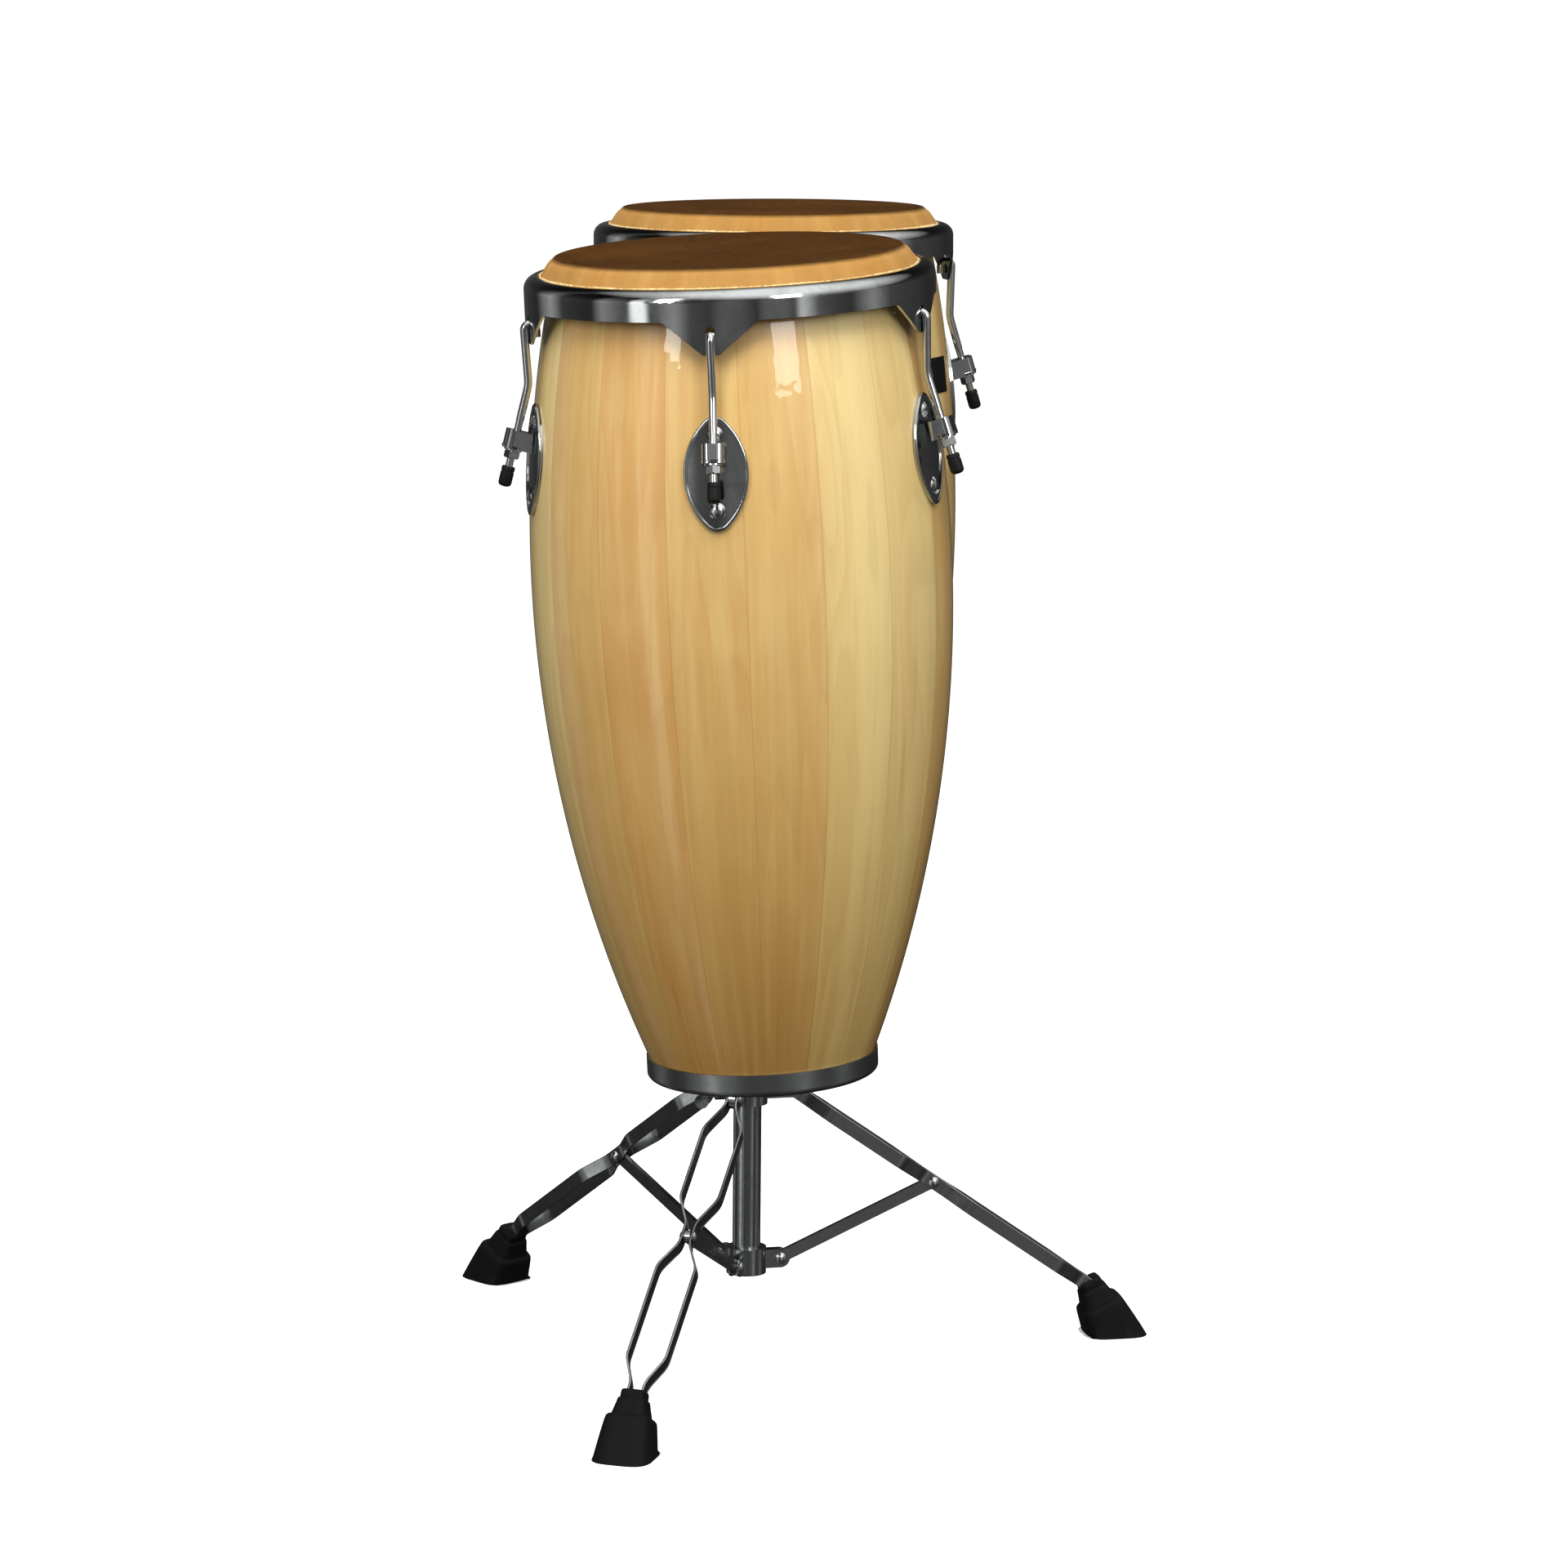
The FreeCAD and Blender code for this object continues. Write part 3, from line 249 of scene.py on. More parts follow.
def lacquered_wood(drum):
    """Clear gloss lacquer over the staves, a little wavy as a sprayed coat is."""
    material, tree, shader = new_material(drum + "_lacquered_wood", Roughness=0.42, Coat_Weight=1.0,
                                          Coat_Roughness=0.02, Coat_IOR=1.38)
    colour, grain = wood_colour(tree, drum)
    tree.links.new(colour, shader.inputs["Base Color"])
    tree.links.new(bump(tree, grain, 0.12, 0.0004), shader.inputs["Normal"])
    wave = noise(tree, object_point(tree), 34.0, 2.0, 0.5)
    drawn_out = [calc(tree, "MULTIPLY", part, scale)
                 for part, scale in zip(drum_point(tree, drum), (1.0, 1.0, 0.3))]
    fine = noise(tree, vector_of(tree, *drawn_out), 150.0, 2.0, 0.5)
    lumpy = calc(tree, "ADD", calc(tree, "MULTIPLY", wave, 0.8), calc(tree, "MULTIPLY", fine, 0.07))
    tree.links.new(bump(tree, lumpy, 1.0, 0.00045), shader.inputs["Coat Normal"])
    return material


def raw_wood(drum):
    """The drum's inside: the same staves, sanded and unfinished."""
    material, tree, shader = new_material(drum + "_raw_wood", Roughness=0.8)
    colour, grain = wood_colour(tree, drum)
    tree.links.new(blend(tree, 0.35, colour, BROWN), shader.inputs["Base Color"])
    tree.links.new(bump(tree, grain, 0.5, 0.0008), shader.inputs["Normal"])
    return material


def rawhide(drum):
    """Natural skin: the flat playing face dark, partly the played hide's own tone and partly painted shade,
    amber down the skirt.
    """
    material, tree, shader = new_material(drum + "_rawhide", Specular_IOR_Level=0.05,
                                          Subsurface_Weight=0.04, Subsurface_Scale=0.002)
    x, y, z = drum_point(tree, drum)
    point = object_point(tree)
    clouds = noise(tree, point, 9.0, 5.0, 0.6, 0.4)
    fibres = noise(tree, point, 160.0, 4.0, 0.65)
    pores = noise(tree, point, 900.0, 2.0, 0.6)
    turn = calc(tree, "ARCTAN2", x, calc(tree, "MULTIPLY", y, -1.0))
    panel = noise(tree, vector_of(tree, calc(tree, "MULTIPLY", turn, 2.4), 0.0, 0.0), 2.2, 3.0, 0.6)
    # dark brown of the flat top: partly the hide's own tone, partly painted shade
    top = ramp(tree, clouds, [(0.30, from_hex("2A1804")), (0.52, from_hex("341E05")),
                              (0.72, from_hex("402508"))])
    skirt = ramp(tree, panel, [(0.30, from_hex("98703A")), (0.50, from_hex("A07842")),
                               (0.68, from_hex("AB834A"))])
    skirt = blend(tree, grey_ramp(tree, clouds, (0.45, 0.0), (0.7, 0.35)), skirt, from_hex("A47436"))
    height = calc(tree, "ADD", z, calc(tree, "MULTIPLY", clouds, 0.0016))
    edge = put(tree, "ShaderNodeMapRange", {"Value": height, "From Min": SHELL_HIGH - 0.6 * MM,
                                            "From Max": SHELL_HIGH + 2.4 * MM})
    colour = blend(tree, edge, skirt, top)
    colour = blend(tree, grey_ramp(tree, fibres, (0.45, 0.0), (0.75, 0.18)), colour, from_hex("7A4E1E"))
    tree.links.new(colour, shader.inputs["Base Color"])
    tree.links.new(grey_ramp(tree, clouds, (0.3, 0.66), (0.7, 0.78)), shader.inputs["Roughness"])
    relief = calc(tree, "ADD", calc(tree, "MULTIPLY", fibres, 0.6), calc(tree, "MULTIPLY", pores, 0.4))
    tree.links.new(bump(tree, relief, 0.25, 0.0005), shader.inputs["Normal"])
    return material


def pale_hide():
    """Trimmed raw edge of the skin."""
    material, tree, shader = new_material("trimmed_hide_edge", Roughness=0.75, Subsurface_Weight=0.1,
                                          Subsurface_Scale=0.002)
    tuft = noise(tree, object_point(tree), 260.0, 4.0, 0.7)
    colour = ramp(tree, tuft, [(0.35, from_hex("B08A4C")), (0.55, from_hex("DCC38F")),
                               (0.7, from_hex("EFE2BF"))])
    tree.links.new(colour, shader.inputs["Base Color"])
    tree.links.new(bump(tree, tuft, 0.6, 0.0008), shader.inputs["Normal"])
    return material


def metal(name, colour, dull, roughness, smudge):
    """Plated metal: tone, smudges and slight waviness of the polished surface."""
    material, tree, shader = new_material(name, Metallic=1.0)
    point = object_point(tree)
    stain = noise(tree, point, 38.0, 5.0, 0.65, 0.3)
    specks = noise(tree, point, 700.0, 3.0, 0.7)
    base = blend(tree, grey_ramp(tree, stain, (0.45, 0.0), (0.72, 0.6)), colour, dull)
    base = blend(tree, grey_ramp(tree, specks, (0.66, 0.0), (0.80, 0.5)), base, dull)
    tree.links.new(base, shader.inputs["Base Color"])
    rough = grey_ramp(tree, stain, (0.35, roughness), (0.7, roughness + smudge))
    tree.links.new(rough, shader.inputs["Roughness"])
    swell = noise(tree, point, 22.0, 2.0, 0.5)
    tree.links.new(bump(tree, swell, 0.35, 0.00012), shader.inputs["Normal"])
    return material


def moulded(name, colour, light, roughness, grit_scale, depth):
    """Moulded rubber or plastic: fine grit, dusty tone on top of it."""
    material, tree, shader = new_material(name, Specular_IOR_Level=0.22)
    point = object_point(tree)
    grit = noise(tree, point, grit_scale, 4.0, 0.7)
    dust = noise(tree, point, 30.0, 5.0, 0.65)
    base = blend(tree, grey_ramp(tree, dust, (0.42, 0.0), (0.78, 0.55)), colour, light)
    tree.links.new(base, shader.inputs["Base Color"])
    tree.links.new(grey_ramp(tree, dust, (0.3, roughness), (0.7, min(1.0, roughness + 0.15))),
                   shader.inputs["Roughness"])
    tree.links.new(bump(tree, grit, 0.5, depth), shader.inputs["Normal"])
    return material


LACQUER = {drum: lacquered_wood(drum) for drum in DRUMS}
RAW = {drum: raw_wood(drum) for drum in DRUMS}
HIDE = {drum: rawhide(drum) for drum in DRUMS}
HIDE_EDGE = pale_hide()
DARK_CHROME = metal("dark_chrome", from_hex("C4C7C5"), from_hex("9A9D9B"), 0.05, 0.08)
STAND_CHROME = metal("stand_chrome", from_hex("A9ADAA"), from_hex("7C807D"), 0.16, 0.14)
BAND_CHROME = metal("band_chrome", from_hex("9A9E9C"), from_hex("7A7D7C"), 0.26, 0.10)
BRIGHT_PLATE = metal("bright_plate", from_hex("D5D6D6"), from_hex("9EA09F"), 0.10, 0.12)
BARE_STEEL = metal("bare_steel", from_hex("8E8A84"), from_hex("5E5A54"), 0.32, 0.18)
RUBBER = moulded("black_rubber", from_hex("050505"), from_hex("0D0D0C"), 0.62, 1400.0, 0.0003)
CAP_RUBBER = moulded("soft_black_rubber", from_hex("0C0C0C"), from_hex("1E1E1E"), 0.45, 1800.0, 0.0002)
BLACK_PLATE = moulded("black_plate", from_hex("0B0B0C"), from_hex("181818"), 0.35, 1600.0, 0.0001)


def dress(material, *names):
    """Gives CAD nodes their finish."""
    for name in names:
        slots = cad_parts[name].material_slots
        if not slots:
            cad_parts[name].data.materials.append(material)
        for slot in slots:
            slot.link = "OBJECT"
            slot.material = material


for drum in DRUMS:
    dress(DARK_CHROME, drum + "_tension_rim", drum + "_side_plates")
    dress(BAND_CHROME, drum + "_foot_band")
    dress(BRIGHT_PLATE, drum + "_tuning_hooks", drum + "_plate_bolts")
    dress(BRIGHT_PLATE, *["%s_tuning_nut_%d" % (drum, index + 1) for index in range(LUG_COUNT)])
    dress(CAP_RUBBER, drum + "_hook_caps")
    dress(BARE_STEEL, drum + "_flesh_hoop")
    dress(STAND_CHROME, drum + "_mount_saddle")
    dress(BRIGHT_PLATE, drum + "_saddle_bolts")
dress(BLACK_PLATE, "rear_blank_badge")
dress(STAND_CHROME, "post_tube", "height_tube", "height_clamp", "cradle_plate", "cradle_prongs")
dress(STAND_CHROME, "upper_collar", "lower_collar")
dress(BRIGHT_PLATE, "height_screw", "collar_wing_screw", "leg_pivot_pins", "brace_pivot_pins")
dress(RUBBER, "post_plug")
for leg in LEGS:
    dress(STAND_CHROME, leg + "_leg_near_strip", leg + "_leg_far_strip", leg + "_brace")
    dress(BRIGHT_PLATE, leg + "_leg_rivets")
    dress(RUBBER, leg + "_rubber_foot")


# ---------- mesh helpers ----------

def new_object(name, mesh, *materials):
    made = bpy.data.objects.new(name, mesh)
    bpy.context.scene.collection.objects.link(made)
    for material in materials:
        mesh.materials.append(material)
    return made


def turned_mesh(name, profile, segments, place, wobble=None):
    """Revolves a closed profile of (radius, height, material index) about the drum's axis.

    wobble(angle, radius, height) gives a radius to add."""
    mesh = bpy.data.meshes.new(name)
    vertices = []
    faces = []
    finish = []
    count = len(profile)
    for step in range(segments):
        angle = 2 * math.pi * step / segments
        for radius, height, index in profile:
            out = radius + (wobble(angle, radius, height) if wobble else 0.0)
            vertices.append(place @ Vector((out * math.sin(angle), -out * math.cos(angle), height)))
    for step in range(segments):
        here = step * count
        there = (step + 1) % segments * count
        for row in range(count):
            after = (row + 1) % count
            faces.append((here + row, there + row, there + after, here + after))
            finish.append(profile[row][2])
    mesh.from_pydata(vertices, [], faces)
    mesh.polygons.foreach_set("material_index", finish)
    mesh.polygons.foreach_set("use_smooth", [True] * len(faces))
    mesh.update()
    return mesh


def arc_centre_of(drum):
    """Centre of the shell's profile arc, as radius and height."""
    sizes = DRUMS[drum]
    start = Vector((sizes["foot_r"], 0))
    end = Vector((sizes["edge_r"], SHELL_HIGH - EDGE_ROUND))
    half = (end - start) / 2
    reach = math.sqrt(sizes["arc_r"] ** 2 - half.length ** 2)
    across = Vector((-half.y, half.x)).normalized()
    return start + half + across * reach


def shell_radius(drum, height):
    """Outside radius of the shell at a height above its foot."""
    centre = arc_centre_of(drum)
    return centre.x + math.sqrt(DRUMS[drum]["arc_r"] ** 2 - (height - centre.y) ** 2)


def sharp_edges(mesh, limit):
    """Smooth shading, with edges kept sharp past an angle in degrees."""
    mesh.shade_smooth()
    mesh.set_sharp_from_angle(angle=math.radians(limit))


def stave_shell(drum):
    """Shell of staves: round outside under lacquer, raw inside, rounded bearing edge."""
    rows = 96
    top = SHELL_HIGH - EDGE_ROUND
    profile = [(shell_radius(drum, top * row / rows), top * row / rows, 0) for row in range(rows + 1)]
    edge = DRUMS[drum]["edge_r"]
    for turn in (22.5, 45, 67.5, 90):
        lean = math.radians(turn)
        profile.append((edge - EDGE_ROUND + EDGE_ROUND * math.cos(lean),
                        top + EDGE_ROUND * math.sin(lean), 0))
    profile.append((edge - SHELL_WALL + 1 * MM, SHELL_HIGH - 0.8 * MM, 1))
    inner_rows = 40
    for row in range(inner_rows, -1, -1):
        height = (SHELL_HIGH - 3 * MM) * row / inner_rows
        profile.append((shell_radius(drum, height) - SHELL_WALL, height, 1))
    mesh = turned_mesh(drum + "_stave_shell", profile, 24 * STAVES, PLACES[drum])
    sharp_edges(mesh, 40)
    shell = new_object(drum + "_stave_shell", mesh, LACQUER[drum], RAW[drum])
    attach(shell, drum + "_drum")
    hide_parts(drum + "_shell")


def skin_wobble(phase):
    """Small pleats in the skirt, where the skin was soaked and pulled down over the hoop."""
    waves = [(7, 0.16), (13, 0.14), (23, 0.12), (41, 0.06)]

    def wobble(angle, radius, height):
        low = min(1.0, max(0.0, (SHELL_HIGH - height) / (SHELL_HIGH - SKIRT_LOW)))
        return sum(size * MM * math.sin(angle * count + phase * count) for count, size in waves) * low
    return wobble


def played_skin(drum, phase):
    """Head skin: flat playing face, rounded shoulder, sloping skirt and tucked rim."""
    edge = DRUMS[drum]["edge_r"]
    top = SHELL_HIGH + SKIN_THICK
    profile = [(0.2 * MM, top, 0)]
    profile += [(edge * share, top, 0) for share in (0.25, 0.5, 0.75, 0.9, 0.96)]
    shoulder = [(-2.5, 0.0), (-1.2, -0.15), (0.0, -0.6), (1.0, -1.4), (1.9, -2.5)]
    profile += [(edge + out * MM, top + drop * MM, 0) for out, drop in shoulder]
    for share in (0.3, 0.45, 0.6, 0.75, 0.9):
        swell = math.sin(share * math.pi) * 0.5 * MM
        profile.append((edge + 0.6 * MM + (SKIRT_OUT - 0.9 * MM) * share + swell,
                        top + (SKIRT_TOP - top) * share + swell, 0))
    outer = edge + SKIRT_OUT - 0.3 * MM
    profile += [(outer, SKIRT_TOP, 0), (outer, SKIRT_LOW, 0)]
    inner = edge + SKIRT_OUT - 2.0 * MM
    profile += [(inner, SKIRT_LOW, 0), (inner - 0.4 * MM, SKIRT_TOP - 0.8 * MM, 0)]
    profile += [(edge, SHELL_HIGH, 0), (0.2 * MM, SHELL_HIGH, 0)]
    mesh = turned_mesh(drum + "_played_skin", profile, 360, PLACES[drum], skin_wobble(phase))
    sharp_edges(mesh, 50)
    skin = new_object(drum + "_played_skin", mesh, HIDE[drum])
    # the skirt is drawn down with the rim as the head is tuned, the playing face stays on the shell
    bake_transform(skin)
    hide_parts(drum + "_head_skin")


def hide_edge(drum, seed):
    """Trimmed edge of the skin, standing up unevenly between the skirt and the rim."""
    draw = random.Random(seed)
    edge = DRUMS[drum]["edge_r"] + SKIRT_OUT
    segments = 720
    levels = [draw.uniform(-1, 1) for _ in range(segments)]
    slow = [sum(levels[(step + shift) % segments] for shift in range(-14, 15)) / 5
            for step in range(segments)]
    mesh = bpy.data.meshes.new(drum + "_hide_edge")
    vertices = []
    faces = []
    for step in range(segments):
        angle = 2 * math.pi * step / segments
        high = HIDE_EDGE_TOP + (0.5 * slow[step] + 0.25 * levels[step]) * MM
        ring = [(edge - 0.6 * MM, HIDE_EDGE_ROOT), (edge - 0.45 * MM, high - 0.4 * MM),
                (edge + 0.1 * MM, high), (edge + 0.6 * MM, high - 0.5 * MM),
                (edge + 0.5 * MM, HIDE_EDGE_ROOT)]
        for radius, height in ring:
            point = Vector((radius * math.sin(angle), -radius * math.cos(angle), height))
            vertices.append(PLACES[drum] @ point)
    count = len(ring)
    for step in range(segments):
        here = step * count
        there = (step + 1) % segments * count
        for row in range(count):
            after = (row + 1) % count
            faces.append((here + row, there + row, there + after, here + after))
    mesh.from_pydata(vertices, [], faces)
    mesh.shade_smooth()
    strip = new_object(drum + "_hide_edge", mesh, HIDE_EDGE)
    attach(strip, drum + "_rim")


# ---------- tuning lugs ----------

RIM_WALL = (26.7 - 1.25) * MM
HOOK_BEND = 5.2 * MM
KINK_IN = 1.6 * MM
KINK_Z = 609 * MM
ROD_ANGLE = math.radians(16.5)
ROD_END_Z = 528 * MM
BLOCK_Z = 563 * MM
ROD_ROOT = 3.2 * MM
THREAD_PITCH = 1.41 * MM
THREAD_CREST = 0.07 * MM
THREAD_ABOVE = 14 * MM
THREAD_TURNS = 34


def lug_matrix(drum, index):
    """Frame of one lug: +X outwards through it, +Z up the drum."""
    turn = math.radians(FIRST_LUG[drum] + 360.0 / LUG_COUNT * index)
    return PLACES[drum] @ Matrix.Rotation(turn, 4, "Z")


def rod_point(drum, height):
    """Point on the slanting rod's axis, in the lug's frame."""
    out = DRUMS[drum]["edge_r"] + RIM_WALL + HOOK_BEND - KINK_IN
    return Vector((out + (KINK_Z - height) * math.tan(ROD_ANGLE), 0, height))


def rod_frame(drum, index, height):
    """Frame on the threaded rod, +Z down along it."""
    down = Vector((math.sin(ROD_ANGLE), 0, -math.cos(ROD_ANGLE)))
    turn = Vector((0, 0, 1)).rotation_difference(down).to_matrix().to_4x4()
    return lug_matrix(drum, index) @ Matrix.Translation(rod_point(drum, height)) @ turn


def join_rings(rings):
    """Faces between equal rings of vertices and over both ends, as index tuples."""
    faces = []
    size = len(rings[0])
    for row in range(len(rings) - 1):
        here = row * size
        there = here + size
        for step in range(size):
            after = (step + 1) % size
            faces.append((here + step, here + after, there + after, there + step))
    faces.append(tuple(reversed(range(size))))
    faces.append(tuple(range((len(rings) - 1) * size, len(rings) * size)))
    return faces


def lofted(name, parts, smooth_angle, *materials):
    """One object from several stacks of rings."""
    vertices = []
    faces = []
    for rings in parts:
        first = len(vertices)
        faces += [tuple(first + index for index in face) for face in join_rings(rings)]
        vertices += [point for ring in rings for point in ring]
    mesh = bpy.data.meshes.new(name)
    mesh.from_pydata(vertices, [], faces)
    mesh.update()
    sharp_edges(mesh, smooth_angle)
    return new_object(name, mesh, *materials)


def rod_threads(drum):
    """Shallow rolled thread on the lower end of each tuning hook."""
    steps = 16
    last = steps * THREAD_TURNS
    flank = THREAD_PITCH * 0.46
    parts = []
    for index in range(LUG_COUNT):
        place = rod_frame(drum, index, BLOCK_Z + THREAD_ABOVE)
        rings = []
        for step in range(last + 1):
            angle = 2 * math.pi * step / steps
            along = THREAD_PITCH * step / steps
            fade = min(1.0, step / steps, (last - step) / steps)
            way = Vector((math.cos(angle), math.sin(angle), 0))
            outer = way * (ROD_ROOT + THREAD_CREST * fade)
            root = way * (ROD_ROOT - 0.15 * MM)
            rings.append([place @ (root + Vector((0, 0, along - flank))),
                          place @ (outer + Vector((0, 0, along))),
                          place @ (root + Vector((0, 0, along + flank)))])
        parts.append(rings)
    threads = lofted(drum + "_rod_threads", parts, 80, BRIGHT_PLATE)
    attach(threads, drum + "_rim")


def ribbed_caps(drum):
    """Soft rubber cap with shallow ribs on the end of each rod, from (along the rod, radius) in mm."""
    segments = 48
    ribs = 12
    rib_deep = 0.28
    collar = [(-13.2, 4.6), (-13.0, 5.3), (-12.3, 5.6), (-11.0, 5.7), (-9.6, 5.7), (-9.2, 5.3), (-8.4, 5.3)]
    grip = [(-8.0, 5.85), (1.0, 5.8)]
    dome = [(2.3, 5.4), (3.4, 4.5), (4.1, 2.9), (4.4, 0.4)]
    parts = []
    for index in range(LUG_COUNT):
        place = rod_frame(drum, index, ROD_END_Z)
        rings = []
        for along, radius in collar + grip + dome:
            ring = []
            for step in range(segments):
                angle = 2 * math.pi * step / segments
                ribbed = rib_deep if (along, radius) in grip else 0.0
                out = (radius - ribbed * (0.5 - 0.5 * math.cos(ribs * angle))) * MM
                ring.append(place @ Vector((out * math.cos(angle), out * math.sin(angle), along * MM)))
            rings.append(ring)
        parts.append(rings)
    caps = lofted(drum + "_ribbed_caps", parts, 35, CAP_RUBBER)
    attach(caps, drum + "_rim")
    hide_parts(drum + "_hook_caps")


PLATE_WIDE = 54 * MM
PLATE_LOW = 498 * MM
PLATE_HIGH = 592 * MM
PLATE_END = 12.5 * MM
PLATE_THICK = 2.2 * MM
BEAD_R = 1.7 * MM


def leaf_outline(inset, steps):
    """Points round the plate's edge, as sideways offset and height: two side arcs and two end arcs."""
    half = PLATE_WIDE / 2
    tall = (PLATE_HIGH - PLATE_LOW) / 2
    centre = (PLATE_HIGH + PLATE_LOW) / 2
    side_r = (half ** 2 - PLATE_END ** 2 + (tall - PLATE_END) ** 2) / (2 * (half - PLATE_END))
    lean = math.asin((tall - PLATE_END) / (side_r - PLATE_END))
    quarter = []
    for step in range(steps + 1):
        angle = lean * step / steps
        quarter.append((half - side_r + (side_r - inset) * math.cos(angle),
                        (side_r - inset) * math.sin(angle)))
    for step in range(1, steps // 3 + 1):
        angle = lean + (math.pi / 2 - lean) * step / (steps // 3)
        quarter.append(((PLATE_END - inset) * math.cos(angle),
                        tall - PLATE_END + (PLATE_END - inset) * math.sin(angle)))
    right = quarter[:-1] + [(-across, up) for across, up in reversed(quarter)]
    lower = [(across, -up) for across, up in reversed(right[1:-1])]
    return [(across, centre + up) for across, up in right + lower]


def plate_beads(drum):
    """Rolled bright edge round each side plate."""
    parts = []
    outline = leaf_outline(BEAD_R * 0.9, 30)
    for index in range(LUG_COUNT):
        place = lug_matrix(drum, index)
        rings = []
        line = []
        for across, height in outline:
            radius = shell_radius(drum, height) + PLATE_THICK - 0.2 * MM
            line.append(Vector((math.sqrt(radius ** 2 - across ** 2), across, height)))
        count = len(line)
        for step in range(count):
            ahead = (line[(step + 1) % count] - line[step - 1]).normalized()
            out = Vector((line[step].x, line[step].y, 0)).normalized()
            side = ahead.cross(out).normalized()
            ring = []
            for part in range(12):
                turn = math.radians(30 * part)
                away = out * math.sin(turn) * 1.1 + side * math.cos(turn)
                ring.append(place @ (line[step] + away * BEAD_R))
            rings.append(ring)
        rings.append(rings[0])
        parts.append(rings)
    beads = lofted(drum + "_plate_beads", parts, 60, DARK_CHROME)
    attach(beads, drum + "_drum")


# ---------- stand ----------

LEG_FIRST = -107.0
PIVOT_R = 40.3 * MM
PIVOT_Z = 243.4 * MM
LEG_ANGLE = math.radians(35.1)
# the leg strips are worked out in mm
LEG_START = -8.0
LEG_MID = 161.9
LEG_LONG = 360.0
PINCH = 4.4
SPREAD = 17.5
STRIP_WIDE = 12.5
STRIP_THICK = 2.2
STRIP_EDGE = 0.55
STRIP_STEP = 2.3
STATIONS = [(LEG_START, PINCH), (12, PINCH), (40, SPREAD), (LEG_MID - 40, SPREAD), (LEG_MID - 12, PINCH),
            (LEG_MID + 12, PINCH), (LEG_MID + 38, SPREAD), (LEG_LONG - 56, SPREAD), (LEG_LONG - 30, 6.5),
            (LEG_LONG, 6.5)]


def leg_turn(leg):
    return Matrix.Rotation(math.radians(LEG_FIRST + 120 * LEGS.index(leg)), 4, "Z")


def leg_matrix(leg):
    """Frame of one leg: origin at its top pivot, +X down the leg, +Z square to it on the upper side."""
    return leg_turn(leg) @ Matrix.Translation((PIVOT_R, 0, PIVOT_Z)) @ Matrix.Rotation(LEG_ANGLE, 4, "Y")


def bow(along):
    """How far a strip stands off the leg's centre line, in mm, with soft bends."""
    def straight(place):
        for (start, low), (end, high) in zip(STATIONS, STATIONS[1:]):
            if place <= end:
                return low + (high - low) * max(0.0, place - start) / (end - start)
        return STATIONS[-1][1]
    reach = 5.0
    return sum(straight(along + reach * (share / 4 - 1)) for share in range(9)) / 9


def leg_strip(leg, sign, node):
    """Flat strip with rolled edges and soft bends."""
    place = leg_matrix(leg)
    half_thick = STRIP_THICK / 2
    rings = []
    along = LEG_START
    while along <= LEG_LONG:
        middle_y = sign * bow(along)
        from_end = along - LEG_START
        half_wide = STRIP_WIDE / 2
        if from_end < half_wide:
            half_wide = max(1.6, math.sqrt(max(0.0, half_wide ** 2 - (half_wide - from_end) ** 2)))
        ring = []
        for side, lift in ((-1, -1), (1, -1), (1, 1), (-1, 1)):
            run = [(side * (half_thick - STRIP_EDGE * cut), lift * (half_wide - STRIP_EDGE * down))
                   for cut, down in ((1, 0), (0.3, 0.3), (0, 1))]
            if side * lift < 0:
                run.reverse()
            ring += run
        rings.append([place @ (Vector((along, middle_y + across, up)) * MM) for across, up in ring])
        along += STRIP_STEP
    strip = lofted("%s_leg_strip_%s" % (leg, "near" if sign < 0 else "far"), [rings], 50, STAND_CHROME)
    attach(strip, leg + "_leg")
    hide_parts(node)


FOOT_R = 345.0 * MM
FOOT_TOP = Vector((323.8 * MM, 0, 44.2 * MM))
# (distance along the foot's axis, half width) in mm
SOLE_TIER = [(-14.0, 26.6), (-4, 25.8), (10, 23.8), (22, 21.9), (29, 20.7), (32.2, 19.9), (33.8, 18.4)]
MIDDLE_TIER = [(34.4, 16.2), (36.5, 15.5), (41, 14.3), (45.5, 13.2), (48.2, 12.6), (49.0, 12.1)]
TOP_TIER = [(49.5, 11.0), (52.5, 10.9), (55.0, 10.7), (56.4, 10.1), (57.0, 9.2)]
FOOT_HIGH = TOP_TIER[-1][0]
FOOT_STEPS = 64


def squircle(half, angle, power):
    """Point of a rounded square at an angle."""
    x = math.cos(angle)
    y = math.sin(angle)
    scale = half / (abs(x) ** power + abs(y) ** power) ** (1 / power)
    return Vector((x * scale, y * scale, 0))


def rubber_foot(leg):
    """Stepped rubber foot with soft shoulders, on a slanting axis, standing flat on the floor."""
    turn = leg_turn(leg)
    base = Vector((FOOT_R, 0, 0))
    axis = (FOOT_TOP - base).normalized()
    lean = Vector((0, 0, 1)).rotation_difference(axis).to_matrix().to_4x4()
    place = turn @ Matrix.Translation(base) @ lean
    world_axis = (turn.to_3x3() @ axis).normalized()
    rings = []
    for along, half in SOLE_TIER + MIDDLE_TIER + TOP_TIER:
        power = 3.6 + 1.6 * max(0.0, along) / FOOT_HIGH
        ring = []
        for step in range(FOOT_STEPS):
            edge = squircle(half * MM, 2 * math.pi * (step + 0.5) / FOOT_STEPS, power)
            point = place @ (edge + Vector((0, 0, along * MM)))
            # below the floor the point slides up the foot's axis, so the sole lies flat
            if point.z < 0:
                point = point - world_axis * (point.z / world_axis.z)
            ring.append(point)
        rings.append(ring)
    foot = lofted(leg + "_stepped_foot", [rings], 42, RUBBER)
    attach(foot, leg + "_leg")
    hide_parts(leg + "_rubber_foot")


